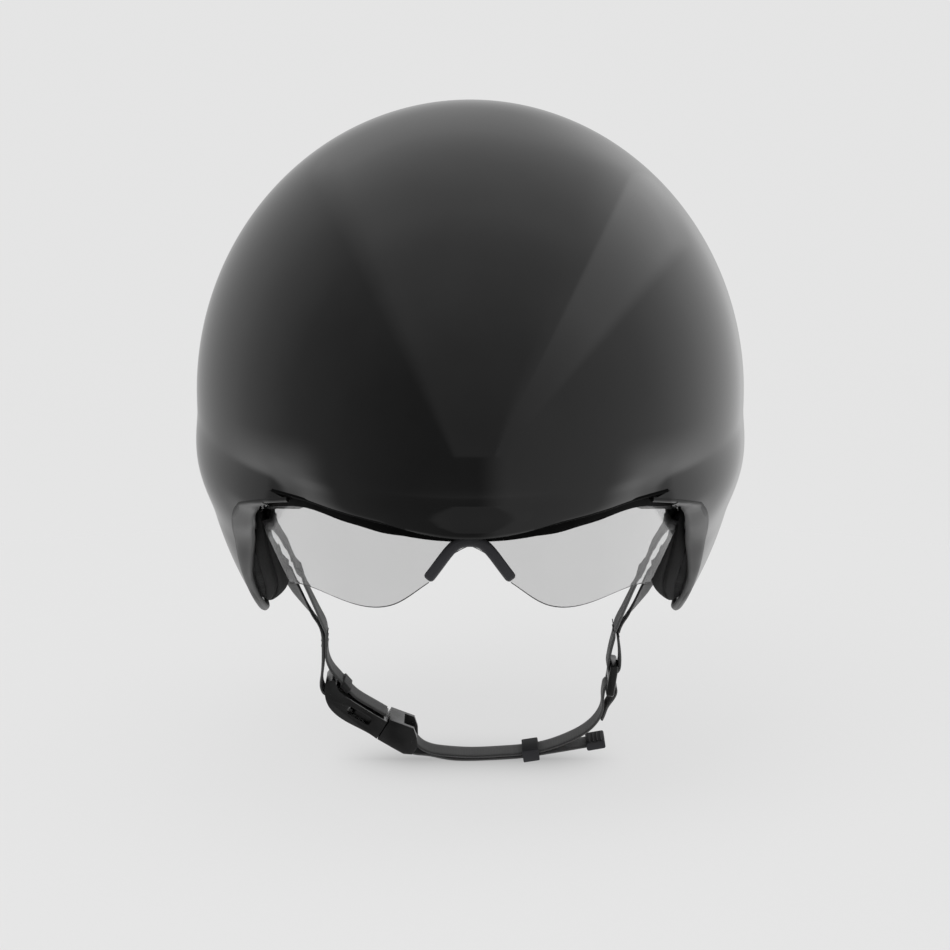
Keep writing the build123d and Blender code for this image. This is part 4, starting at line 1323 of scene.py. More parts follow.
@dataclass
class Straps:
    """The webs: four that hang from the shell, the doubled chin web and its loose end."""

    half_span: float = 57.7
    station: float = -2.0
    drop: float = 145.5
    width: float = 15.0
    wall: float = 1.0
    layer: float = 1.2
    junction_top: float = 94.0
    junction_left: float = 104.5
    junction_right: float = 96.0
    twist: float = 0.253
    turned: Place = (-0.852, -0.458)
    turn_ends: tuple[float, float, float] = (0.2, 0.6, 0.4)
    line_step: float = 0.8
    hang_step: float = 0.9
    easing: int = 10
    front_anchor: Point = (77.0, -38.0, -38.5)
    rear_anchor: Point = (90.0, 36.0, -56.0)
    bend: tuple[Place, Place] = ((0.06, 1.0), (-0.40, 0.965))
    chin_start: tuple[Place, ...] = ((-0.466, 0.954), (-0.447, 0.9455), (-0.422, 0.9437), (-0.385, 0.953),
                                     (-0.349, 0.969))
    double: tuple[Place, ...] = ((-0.295, 0.982), (-0.175, 0.9915), (0, 0.9958), (0.204, 0.9925),
                                 (0.355, 0.988), (0.478, 0.9805))
    chin_end: tuple[Place, ...] = ((0.667, 0.955), (0.801, 0.925), (0.884, 0.889), (0.912, 0.856),
                                   (0.911, 0.832), (0.917, 0.814), (0.928, 0.799), (0.965, 0.795),
                                   (0.998, 0.803), (0.999, 0.819), (0.971, 0.839), (0.939, 0.858),
                                   (0.920, 0.878), (0.903, 0.893))
    tail_start: tuple[Place, ...] = ((-0.486, 0.965), (-0.462, 0.976), (-0.410, 0.9845), (-0.355, 0.988))
    loose: tuple[Place, ...] = ((0.695, 0.9739), (0.821, 0.965))
    buckle_tail: tuple[Place, ...] = ((-0.9567, 0.7526), (-0.908, 0.776), (-0.856, 0.8007), (-0.804, 0.8241),
                                      (-0.693, 0.8536), (-0.579, 0.8804))
    socket_wrap: tuple[Place, ...] = ((-1.020, 0.770), (-1.020, 0.808), (-0.995, 0.8215), (-0.940, 0.8075))
    slider_wrap: tuple[Place, ...] = ((0.960, 0.7045), (0.9450, 0.739), (0.945, 0.755), (0.978, 0.7625),
                                      (1.0151, 0.759), (1.026, 0.744), (1.028, 0.720), (1.023, 0.694),
                                      (1.012, 0.662))

    def places(self, shares: Iterable[Place], lowered: float = 0.0) -> np.ndarray:
        """Returns points in the straps' plane from shares of their span and drop."""
        return np.array([(self.half_span * a, self.station, -self.drop * b - lowered) for a, b in shares])

    def section(self) -> np.ndarray:
        """Returns a web's section, a little thinner than the CAD's."""
        return flat_section(self.width, self.wall * 0.92)

    def flat(self, name: str, points: np.ndarray) -> bpy.types.Object:
        """Makes a web that keeps its width across the front view.

        Args:
            name: The piece's name.
            points: The points that its middle follows.

        Returns:
            The web.
        """
        length = np.linalg.norm(np.diff(points, axis=0), axis=1).sum()
        return ribbon(name, smooth_line(points, int(length / self.line_step)), FRONT, self.section())

    def hanging(self, name: str, side: int, anchor: Point, junction_x: float, foot: float,
                shares: Iterable[Place]) -> bpy.types.Object:
        """Makes a web from its anchor through the junction and on.

        Args:
            name: The piece's name.
            side: 1 or -1, for the side of the helmet.
            anchor: Where it leaves the shell, on the side of positive x.
            junction_x: How far out it runs at the junction.
            foot: The depth of the junction's foot.
            shares: Where it goes from there.

        Returns:
            The web.
        """
        top = np.array([side * anchor[0], anchor[1], anchor[2]])
        meet = np.array([side * junction_x, self.station, -self.junction_top])
        down = normed(meet - top)
        points = np.array([top, meet, (side * junction_x, self.station, -foot)])
        at = np.concatenate(([0], np.cumsum(np.linalg.norm(np.diff(points, axis=0), axis=1))))
        where = np.linspace(0, at[-1], int(at[-1] / self.hang_step))
        line = np.stack([np.interp(where, at, points[:, i]) for i in range(3)], axis=1)
        shares = list(shares)
        if shares:
            flat = smooth_line(np.concatenate((points[-1:], self.places(shares))), 60)
            line = np.concatenate((line[:-1], flat))
        soft = line.copy()
        for _ in range(self.easing):
            soft[1:-1] = (soft[:-2] + 2 * soft[1:-1] + soft[2:]) / 4
        hang = normed(np.array([0.0, down[2], -down[1]]))
        share = np.clip((line[:, 2] - top[2]) / (meet[2] - top[2]), 0, 1)[:, None]
        turned = np.array([-side * self.twist, *self.turned]) if anchor[1] < 0 else hang
        opening, start, closing = self.turn_ends
        early, late = np.clip(share / opening, 0, 1), np.clip((share - start) / closing, 0, 1)
        across = (hang * (1 - early) + turned * early) * (1 - late) + FRONT * late
        return ribbon(name, soft, across, self.section())

    def build(self) -> None:
        """Makes every web."""
        inner, outer = self.half_span - self.layer / 2, self.half_span + self.layer / 2
        hung = (("left_front_web", -1, self.front_anchor, inner, self.junction_left, self.buckle_tail,
                 "front_strap_left"),
                ("right_front_web", 1, self.front_anchor, inner, self.junction_right, self.slider_wrap,
                 "front_strap_right"),
                ("left_rear_web", -1, self.rear_anchor, outer, self.junction_left, self.socket_wrap,
                 "rear_strap_left"),
                ("right_rear_web", 1, self.rear_anchor, outer, self.junction_right, (), "rear_strap_right"))
        for name, side, anchor, junction_x, foot, shares, node in hung:
            web = self.hanging(name, side, anchor, junction_x, foot, shares)
            place_piece(web, Finishes.webbing, Body.HELMET, node)
        start, end = self.places(self.bend) * MM
        chin = self.flat("chin_web", self.places(self.chin_start + self.double + self.chin_end))
        place_blend(chin, Finishes.webbing, Body.HELMET, Body.PLUG, start, end, "chin_strap")
        tail = self.flat("loose_web", np.concatenate((self.places(self.tail_start),
                                                      self.places(self.double, self.layer),
                                                      self.places(self.loose))))
        place_blend(tail, Finishes.webbing, Body.HELMET, Body.PLUG, start, end, "strap_tail")


# The ear covers and the visor's trim


@dataclass
class EarCover:
    """What shows in the mouth of an ear cover: its rolled lip, and the soft fold beside the web."""

    lip_widths: tuple[Place, ...] = ((0, 3.6), (0.06, 6.0), (0.13, 8.6), (0.25, 8.8), (0.36, 7.8),
                                     (0.45, 6.0), (0.56, 3.6), (0.7, 2.6), (1, 2.4))
    lip_profile: tuple[Place, ...] = ((0, -0.3), (0.02, 0.5), (0.10, 0.9), (0.22, 1.0), (0.35, 1.0),
                                      (0.5, 0.85), (0.65, 0.6), (0.8, 0.15), (0.92, -0.6), (0.98, -1.3),
                                      (1.0, -1.9), (0.96, -2.7), (0.8, -2.9), (0.5, -2.3), (0.2, -1.6),
                                      (0.03, -1.1))
    lip_full: float = 4.0
    lip_shares: tuple[Place, ...] = ((-0.705, 0.1910), (-0.6815, 0.197), (-0.599, 0.2206), (-0.520, 0.280),
                                     (-0.440, 0.344), (-0.389, 0.402), (-0.246, 0.551), (-0.082, 0.638),
                                     (0.035, 0.608))
    outer: tuple[Point, ...] = ((-83.0, -48.0, -33.0), (-82.6, -46.0, -39.5), (-82.6, -42.0, -49.1),
                                (-82.2, -35.0, -57.8), (-80.6, -26.0, -67.0), (-80.2, -17.0, -74.2),
                                (-80.6, -10.0, -78.8), (-80.4, -7.4, -80.4))
    inner: tuple[Point, ...] = ((-79.6, -46.0, -33.0), (-78.2, -45.0, -38.0), (-75.8, -41.5, -46.4),
                                (-73.0, -36.0, -54.5), (-70.6, -28.5, -63.6), (-70.4, -23.5, -68.4),
                                (-73.2, -15.0, -75.0), (-78.8, -7.8, -80.2))
    lip_rows: int = 80
    lip_reaches: Place = (20.0, 140.0)
    lip_inward: Place = (0.93, -0.37)
    lip_toward: Point = (0, -1.0, -0.4)
    fold_rows: int = 60
    fold_sides: tuple[int, int] = (26, 12)
    fold_wall: float = 4.6
    fold_front: float = 0.62
    fold_toward: Point = (0, -1.0, -0.2)
    groove: tuple[float, float, float] = (0.52, 0.07, 1.3)

    def lip(self, shell: Shell, side: int) -> bpy.types.Object:
        """Makes the rolled lip along the cover's front edge.

        Args:
            shell: The shell that it belongs to.
            side: 1 or -1, for the side of the helmet.

        Returns:
            The lip.
        """
        places = smooth_line(shell.side_places(self.lip_shares), self.lip_rows)
        low, high = (np.full(self.lip_rows, reach) for reach in self.lip_reaches)
        reach = closed_in(low, high, lambda x: shell.outside(np.column_stack((side * x, places))) < 0)
        edge = np.column_stack((side * reach, places))
        along = normed(np.gradient(edge, axis=0))
        inward = square_to(along, np.array([[-side * self.lip_inward[0], 0.0, self.lip_inward[1]]]))
        front = facing(np.cross(along, inward), self.lip_toward)
        widths, profile = np.array(self.lip_widths), np.array(self.lip_profile)
        width = np.interp(np.linspace(0, 1, self.lip_rows), widths[:, 0], widths[:, 1])
        rise = np.minimum(1, width / self.lip_full)
        section = profile * np.column_stack((width, rise))[:, None]
        return lofted(SIDES[side] + "_ear_lip", swept(edge, inward, front, section))

    def fold(self, side: int) -> bpy.types.Object:
        """Makes the soft fold between the ear pad and the front web.

        Args:
            side: 1 or -1, for the side of the helmet.

        Returns:
            The fold.
        """
        outer, inner = smooth_line(self.outer, self.fold_rows), smooth_line(self.inner, self.fold_rows)
        there, back = (np.cos(np.linspace(0, math.pi, steps)) for steps in self.fold_sides)
        share = np.concatenate(((1 - there) / 2, (1 + back[1:-1]) / 2))
        crown = np.sqrt(np.clip(4 * share * (1 - share), 0, 1)) ** 0.8
        place, spread, deep = self.groove
        front = np.arange(len(share)) < len(there)
        dent = np.where(front, deep * np.exp(-((share - place) / spread) ** 2), 0)
        along = np.gradient((outer + inner) / 2, axis=0)
        normal = facing(normed(np.cross(along, inner - outer)), self.fold_toward)
        run = np.linspace(0, 1, self.fold_rows)
        wall = np.sqrt(np.clip(1 - (2 * run - 1) ** 10, 0.02, 1))
        height = crown * self.fold_wall * np.where(front, self.fold_front, self.fold_front - 1)
        height = height[None, :] * wall[:, None] - dent[None, :] * np.clip((1 - run) / 0.2, 0, 1)[:, None]
        section = np.stack((np.broadcast_to(share, height.shape), height), axis=-1)
        rings = swept(outer, inner - outer, normal, section)
        rings[..., 0] *= -side
        return lofted(SIDES[side] + "_cheek_fold", rings)

    def build(self, shell: Shell) -> None:
        """Makes both covers' lips and folds.

        Args:
            shell: The shell that they belong to.
        """
        for side in SIDES:
            place_piece(self.lip(shell, side), Finishes.lip, Body.HELMET)
            fold = self.fold(side)
            place_piece(fold, Finishes.lining, Body.HELMET)


@dataclass
class VisorTrim:
    """The black band along the lens's top and the rubber guard round the nose."""

    half_width: float = 86.0
    reach: float = 106.0
    station: float = -14.0
    band_low: tuple[Place, ...] = ((0, -35.0), (3.6, -34.8), (10.8, -34.4), (18.0, -34.0), (24.6, -33.5),
                                   (31.9, -33.0), (39.3, -31.6), (46.8, -30.4), (54.4, -28.8), (62.1, -28.3),
                                   (66.9, -29.2), (74.8, -31.8), (79.0, -33.0))
    band_rise: tuple[Place, ...] = ((0, 3.0), (30, 4.5), (55, 6.0), (66, 7.2), (75, 7.2), (79, 2.0))
    band_section: tuple[Place, ...] = ((-0.2, 0.0), (0.55, 0.0), (0.7, 0.3), (0.7, 0.9), (0.3, 1.0),
                                       (-0.2, 1.0))
    band_rows: int = 240
    band_sharp: float = 40.0
    nose: tuple[Place, ...] = ((15.4, -49.2), (10.85, -42.9), (6.8, -37.6), (4.2, -35.4), (0, -34.5))
    nose_width: float = 4.1
    nose_wall: float = 4.4
    nose_out: float = 0.4
    nose_rows: int = 90
    nose_sides: int = 18
    nose_taper: float = 0.075

    def on_lens(self, places: np.ndarray, out: float) -> np.ndarray:
        """Sets places of the front view on the lens.

        Args:
            places: The places (x, z), one row each.
            out: How far outside its face they lie.

        Returns:
            The points.
        """
        share = np.clip(places[:, 0] / (self.half_width + out), -1, 1)
        return np.column_stack((places[:, 0], self.station - (self.reach + out) * np.sqrt(1 - share ** 2),
                                places[:, 1]))

    def build(self) -> None:
        """Makes both pieces."""
        low, rise = np.array(self.band_low), np.array(self.band_rise)
        line = smooth_line(np.concatenate((low[:0:-1] * (-1, 1), low)), self.band_rows)
        height = np.interp(np.abs(line[:, 0]), rise[:, 0], rise[:, 1])
        rings = [self.on_lens(line + np.column_stack((np.zeros(len(line)), height * up)), out)
                 for out, up in self.band_section]
        band = lofted("lens_band", np.stack(rings, axis=1), sharp=self.band_sharp)
        place_piece(band, Finishes.rail, Body.VISOR)
        nose = np.array(self.nose)
        path = smooth_line(np.concatenate((nose * (-1, 1), nose[-2::-1])), self.nose_rows)
        spots = self.on_lens(path, self.nose_out)
        out = (spots - np.array([0, self.station, 0])) / np.array([self.half_width, self.reach, 1]) ** 2
        out[:, 2] = 0
        out = normed(out)
        along = normed(np.gradient(spots, axis=0))
        side = np.cross(along, out)
        circle = round_section(1, self.nose_sides)
        section = np.sign(circle) * np.abs(circle) ** 0.6 * (self.nose_width / 2, self.nose_wall / 2)
        run = np.linspace(-1, 1, self.nose_rows)
        near = np.clip((1 - np.abs(run)) / self.nose_taper, 0, 1)
        size = np.sqrt(1 - (1 - near) ** 2) * 0.97 + 0.03
        rings = swept(spots, side, out, section * size[:, None, None])
        place_piece(lofted("nose_rubber", rings), Finishes.rubber, Body.VISOR, "nose_guard")


# Pads


PAD_HUB = np.array([0.0, 16.0, 0.0])  # The pads face away from here, in millimetres
PAD_FRAMES = 8  # Frames of cloth for each pad
PAD_EDGE = 0.35  # How far a pad's normal may lean from side-on where its edge is


@dataclass(frozen=True)
class Pad:
    """A comfort pad: its CAD form, remeshed, blown up as cloth, then given its sewn edge."""

    node: str
    name: str
    body: Body
    voxel: float = 1.5
    swell: float = 0.9
    ridge: Place = (4.2, 0.8)
    dish: float = 0.0
    fill: float = 0.75
    rounds: int = 8
    channel: float = 0.9
    dish_run: Place = (3.5, 4.0)

    def blow(self, piece: bpy.types.Object) -> None:
        """Lets the pad's cover fill out as cloth under pressure, within its cap.

        Args:
            piece: The remeshed pad.
        """
        still = vertex_rows(piece.data)
        cloth = piece.modifiers.new("cover", "CLOTH")
        cloth.settings.quality = 4
        cloth.settings.mass = 0.2
        cloth.settings.use_pressure = True
        cloth.settings.uniform_pressure_force = 4
        cloth.settings.tension_stiffness = 20
        cloth.settings.compression_stiffness = 20
        cloth.settings.effector_weights.gravity = 0
        cloth.collision_settings.use_collision = False
        cloth.point_cache.frame_start, cloth.point_cache.frame_end = 1, PAD_FRAMES
        for number in range(1, PAD_FRAMES + 1):
            bpy.context.scene.frame_set(number)
        settle(piece)
        bpy.context.scene.frame_set(1)
        move = np.nan_to_num(vertex_rows(piece.data) - still)
        away = normed(still - PAD_HUB * MM)
        move -= np.maximum((move * away).sum(1), 0)[:, None] * away
        length = np.linalg.norm(move, axis=1)
        move *= np.minimum(1, self.swell * MM / np.maximum(length, 1e-9))[:, None]
        move_vertices(piece.data, still + move)

    def sew(self, piece: bpy.types.Object) -> None:
        """Presses the sewn channel a little inside the pad's edge, and dishes what it rings.

        Args:
            piece: The pad, after its cloth.
        """
        spots = vertex_rows(piece.data) / MM
        away = normed(spots - PAD_HUB)
        lean = (vertex_rows(piece.data, "normal") * away).sum(1)
        edge = KDTree(len(spots))
        for i in np.flatnonzero(np.abs(lean) < PAD_EDGE):
            edge.insert(Vector(spots[i]), int(i))
        edge.balance()
        inner = np.flatnonzero(lean < -PAD_EDGE)
        gap = np.array([edge.find(Vector(spots[i]))[2] or 0.0 for i in inner])
        place, depth = self.ridge
        press = depth * np.exp(-((gap - place) / self.channel) ** 2)
        press += self.dish * np.clip((gap - place - self.dish_run[0]) / self.dish_run[1], 0, 1)
        spots[inner] += away[inner] * press[:, None]
        move_vertices(piece.data, spots * MM)

    def build(self) -> None:
        """Makes the pad in place of its CAD node."""
        piece = from_frame(self.node, self.name)
        remesh = piece.modifiers.new("cover", "REMESH")
        remesh.mode = "VOXEL"
        remesh.voxel_size = self.voxel * MM
        remesh.use_smooth_shade = True
        smooth = piece.modifiers.new("ease", "SMOOTH")
        smooth.factor = 0.5
        smooth.iterations = self.rounds
        settle(piece)
        self.blow(piece)
        fine = piece.modifiers.new("fine", "SUBSURF")
        fine.levels = fine.render_levels = 1
        settle(piece)
        self.sew(piece)
        piece.data.shade_smooth()
        place_piece(piece, Finishes.padding, self.body, self.node)


PADS = (
    Pad("brow_pad", "forehead_pad", Body.HELMET, 1.3),
    Pad("crown_pad", "top_pad", Body.HELMET, 1.6),
    Pad("side_pads", "temple_pads", Body.HELMET, 1.6),
    Pad("ear_pad_left", "left_ear_pad", Body.HELMET, 1.5, 0.9, (6.5, 1.1), 2.2, 0.8, 14),
    Pad("ear_pad_right", "right_ear_pad", Body.HELMET, 1.5, 0.9, (6.5, 1.1), 2.2, 0.8, 14),
    Pad("cradle_pads", "nape_pads", Body.CRADLE, 1.1, 0.6, (3.4, 0.6)),
)


# The small strap pieces


class Repeat:
    """A Geometry Nodes tree that sets a small piece along a line at an even spacing."""

    SEED = 7

    def __init__(self) -> None:
        """Builds the tree."""
        tree = bpy.data.node_groups.new("set_along", "GeometryNodeTree")
        self.tree = tree
        face = tree.interface
        face.new_socket("Line", in_out="INPUT", socket_type="NodeSocketGeometry")
        self.sockets = {}
        for name, kind in (("Unit", "NodeSocketObject"), ("Spacing", "NodeSocketFloat"),
                           ("Across", "NodeSocketVector"), ("Size", "NodeSocketFloat"),
                           ("Uneven", "NodeSocketFloat"), ("Finish", "NodeSocketMaterial")):
            self.sockets[name] = face.new_socket(name, in_out="INPUT", socket_type=kind).identifier
        face.new_socket("Pieces", in_out="OUTPUT", socket_type="NodeSocketGeometry")
        add, join = tree.nodes.new, tree.links.new
        start, end = add("NodeGroupInput"), add("NodeGroupOutput")
        curve, even = add("GeometryNodeMeshToCurve"), add("GeometryNodeResampleCurve")
        put, tangent = add("GeometryNodeInstanceOnPoints"), add("GeometryNodeInputTangent")
        even.mode = "LENGTH"
        unit, turn = add("GeometryNodeObjectInfo"), add("FunctionNodeAxesToRotation")
        turn.primary_axis, turn.secondary_axis = "Z", "X"
        chance = add("FunctionNodeRandomValue")
        chance.data_type = "FLOAT"
        low, high = add("ShaderNodeMath"), add("ShaderNodeMath")
        low.operation, high.operation = "SUBTRACT", "ADD"
        real, paint = add("GeometryNodeRealizeInstances"), add("GeometryNodeSetMaterial")
        join(start.outputs["Line"], curve.inputs[0])
        join(curve.outputs[0], even.inputs["Curve"])
        join(start.outputs["Spacing"], even.inputs["Length"])
        join(even.outputs[0], put.inputs["Points"])
        join(start.outputs["Unit"], unit.inputs[0])
        join(unit.outputs["Geometry"], put.inputs["Instance"])
        join(tangent.outputs[0], turn.inputs[0])
        join(start.outputs["Across"], turn.inputs[1])
        join(turn.outputs[0], put.inputs["Rotation"])
        join(start.outputs["Size"], low.inputs[0])
        join(start.outputs["Uneven"], low.inputs[1])
        join(start.outputs["Size"], high.inputs[0])
        join(start.outputs["Uneven"], high.inputs[1])
        floats = [socket for socket in chance.inputs if socket.enabled and socket.type == "VALUE"]
        join(low.outputs[0], floats[0])
        join(high.outputs[0], floats[1])
        chance.inputs["Seed"].default_value = self.SEED
        value = next(socket for socket in chance.outputs if socket.enabled)
        join(value, put.inputs["Scale"])
        join(put.outputs[0], real.inputs[0])
        join(real.outputs[0], paint.inputs[0])
        join(start.outputs["Finish"], paint.inputs["Material"])
        join(paint.outputs[0], end.inputs[0])

    def along(self, name: str, lines: Sequence[np.ndarray], unit: bpy.types.Object, spacing: float,
              across: Point, finish: Finish, uneven: float = 0.04) -> bpy.types.Object:
        """Sets a unit along lines.

        Args:
            name: The new piece's name.
            lines: The lines' points in millimetres.
            unit: The piece that is repeated, with its length on Z.
            spacing: The distance between two of them in millimetres.
            across: The direction of the unit's X axis.
            finish: The finish of the result.
            uneven: How far their sizes differ, as a share.

        Returns:
            The piece, as a plain mesh.
        """
        mesh = bpy.data.meshes.new(name)
        points, edges = [], []
        for line in lines:
            edges += [(len(points) + i, len(points) + i + 1) for i in range(len(line) - 1)]
            points += [tuple(spot * MM) for spot in line]
        mesh.from_pydata(points, edges, [])
        host = linked(name, mesh)
        nodes = host.modifiers.new("along", "NODES")
        nodes.node_group = self.tree
        for key, value in (("Unit", unit), ("Spacing", spacing * MM), ("Across", across), ("Size", 1.0),
                           ("Uneven", uneven), ("Finish", finish.build())):
            nodes[self.sockets[key]] = value
        return settle(host)


@dataclass
class StrapTrim:
    """The elastic loop, the rubber end, the stitches and the fit system's two arms."""

    straps: Straps
    web_wall: float = 1.0
    gap: float = 0.2
    relief: float = 1.6
    relief_back: Place = (18.0, 34.0)
    relief_side: Place = (25.0, 4.0)
    relief_hub: float = 10.0
    elastic_wall: float = 0.6
    elastic_length: float = 4.2
    elastic_corner: float = 0.42
    tip_rounding: float = 0.35
    arm_rounding: float = 0.3
    rib_radius: float = 0.42
    rib_half_width: float = 7.0
    rib_half_run: float = 2.4
    rib_out: float = 0.95
    rib_step: float = 1.2
    thread_radius: float = 0.2
    stitch: float = 1.7
    stitch_step: float = 2.3
    tack_width: float = 11.0
    tack_rows: tuple[float, ...] = (-2.2, 0.0, 2.2)
    tack_drop: float = 0.35
    arm_bend: tuple[Place, Place] = ((-20.0, -30.0), (50.0, -50.0))

    def elastic(self) -> None:
        """Makes the elastic loop round the left web."""
        before, spot, after = self.straps.places(self.straps.buckle_tail[1:4])
        along = normed(after - before)
        up = np.cross(along, BACK)
        wide = self.straps.width + 2 * self.gap + self.elastic_wall
        high = self.web_wall + 2 * self.gap + self.elastic_wall
        ring = rounded_box(wide, high, high * self.elastic_corner)
        loop = spot + ring[:, :1] * BACK + ring[:, 1:] * up
        piece = ribbon("web_elastic", loop, along, flat_section(self.elastic_length, self.elastic_wall), True)
        place_piece(piece, Finishes.elastic, Body.HELMET, "tail_keeper")

    def tip(self, repeat: Repeat) -> None:
        """Makes the rubber end with its ribs.

        Args:
            repeat: What sets the ribs along it.
        """
        first, last = self.straps.places(self.straps.loose)
        along = normed(last - first)
        up = np.cross(along, BACK)
        end = from_frame("strap_end_tip", "web_tip")
        soften(end, self.tip_rounding, 3)
        place_piece(end, Finishes.rubber, Body.HELMET, "strap_end_tip")
        low, high = (np.array(corner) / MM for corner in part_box("strap_end_tip"))
        centre = (low + high) / 2
        face = self.web_wall / 2 + self.rib_out
        run = np.linspace(-1, 1, 9)[:, None]
        unit = ribbon("rib_unit", run * np.array([self.rib_half_width, 0.0, 0.0]), np.array([0.0, 0.0, 1.0]),
                      round_section(self.rib_radius, 8))
        lines = [centre + along * run * self.rib_half_run + up * sign * face for sign in (-1, 1)]
        ribs = repeat.along("tip_ribs", lines, unit, self.rib_step, (0.0, 1.0, 0.0), Finishes.rubber, 0.0)
        bpy.data.objects.remove(unit)
        place_piece(ribs, Finishes.rubber, Body.HELMET)

    def tack(self, spot: np.ndarray, along: np.ndarray, wall: float) -> list[np.ndarray]:
        """Returns the lines of a bar tack on both faces of a web.

        Args:
            spot: Its middle.
            along: The web's direction there.
            wall: The thickness of what is sewn.

        Returns:
            The lines across the web, first those of one face.
        """
        along = normed(along)
        up = np.cross(along, BACK)
        run = np.linspace(-self.tack_width / 2, self.tack_width / 2, 12)[:, None]
        return [spot + along * shift + BACK * run + up * sign * (wall / 2 + 0.02)
                for sign in (-1, 1) for shift in self.tack_rows]

    def stitches(self, repeat: Repeat) -> None:
        """Makes the bar tacks at the junctions.

        Args:
            repeat: What sets the stitches along them.
        """
        line = np.linspace(-0.5, 0.5, 7)[:, None] * np.array([0.0, 0.0, self.stitch])
        unit = ribbon("thread_unit", line, np.array([1.0, 0.0, 0.0]), round_section(self.thread_radius, 7))
        lines = []
        for side, foot, drop in ((-1, self.straps.junction_left, self.tack_drop),
                                 (1, self.straps.junction_right, 0.0)):
            top = np.array([side * self.straps.half_span, self.straps.station, -self.straps.junction_top])
            low = np.array([side * self.straps.half_span, self.straps.station, -foot])
            lines += self.tack(top + (low - top) * drop, low - top, 2 * self.web_wall + 0.2)
        threads = repeat.along("web_stitches", lines, unit, self.stitch_step, (1.0, 0.0, 0.0),
                               Finishes.thread)
        bpy.data.objects.remove(unit)
        place_piece(threads, Finishes.thread, Body.HELMET)

    def relieve(self, arm: bpy.types.Object) -> None:
        """Draws the higher arm's back in from the trim, which it would meet when the cradle is tilted up.

        Args:
            arm: The arm.
        """
        (first, last), (inner, run) = self.relief_back, self.relief_side
        for vertex in arm.data.vertices:
            spot = vertex.co / MM
            share = np.clip((spot[1] - first) / (last - first), 0, 1) * np.clip((spot[0] - inner) / run, 0, 1)
            way = Vector((spot[0], spot[1] - self.relief_hub, 0)).normalized()
            vertex.co -= way * float(self.relief * MM * share)

    def arms(self) -> None:
        """Makes the two arms between the temples and the cradle."""
        for side in SIDES.values():
            piece = from_frame("band_arm_" + side, side + "_fit_arm")
            soften(piece, self.arm_rounding, 2)
            if side == "right":
                self.relieve(piece)
            low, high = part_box("band_arm_" + side)
            x = (low[0] + high[0]) / 2
            start, end = (np.array([x, y * MM, z * MM]) for y, z in self.arm_bend)
            place_blend(piece, Finishes.band, Body.BAND, Body.CRADLE, start, end, "band_arm_" + side)

    def build(self) -> None:
        """Makes every piece."""
        repeat = Repeat()
        self.elastic()
        self.tip(repeat)
        self.stitches(repeat)
        self.arms()


# The CAD nodes of each finish; those that no piece stands for are shown with it
NODE_FINISHES = {
    Finishes.shell: ("outer_shell",),
    Finishes.foam: ("foam_liner",),
    Finishes.trim: ("lower_trim",),
    Finishes.vent: ("tail_vent",),
    Finishes.padding: ("brow_pad", "crown_pad", "side_pads", "ear_pad_left", "ear_pad_right",
                       "cradle_pads"),
    Finishes.lens: ("visor_lens",),
    Finishes.rail: ("visor_rail",),
    Finishes.rubber: ("nose_guard", "dial_grip", "strap_keeper", "strap_end_tip"),
    Finishes.magnet: ("visor_magnets", "brow_magnets"),
    Finishes.band: ("band_pivots", "band_arm_left", "band_arm_right", "cradle_frame", "dial_housing",
                    "rack_left", "rack_right", "fit_dial", "strap_anchors"),
    Finishes.pinion: ("drive_pinion",),
    Finishes.webbing: ("front_strap_left", "front_strap_right", "rear_strap_left", "rear_strap_right",
                       "chin_strap", "strap_tail"),
    Finishes.elastic: ("tail_keeper",),
    Finishes.buckle: ("length_slider", "buckle_socket", "buckle_plug", "release_arm_front",
                      "release_arm_rear"),
}


# The stage


@dataclass(frozen=True)
class SoftBox:
    """A glowing card that only gloss shows, given by the places of the picture that mirror it."""

    name: str
    corners: tuple[Place, Place, Place, Place]
    arc: float
    tones: tuple[Place, ...]
    soft: float = 0.1

    def places(self, across: np.ndarray, up: np.ndarray) -> np.ndarray:
        """Finds places of the picture.

        Args:
            across: Shares of the way across the card.
            up: Shares of the way up it.

        Returns:
            One place for each pair of shares.
        """
        low_left, low_right, top_left, top_right = (np.array(corner) for corner in self.corners)
        low = low_left + (low_right - low_left) * across[:, None]
        top = top_left + (top_right - top_left) * across[:, None]
        top[:, 1] -= self.arc * 4 * across * (1 - across)
        return low + (top - low) * up[:, None]


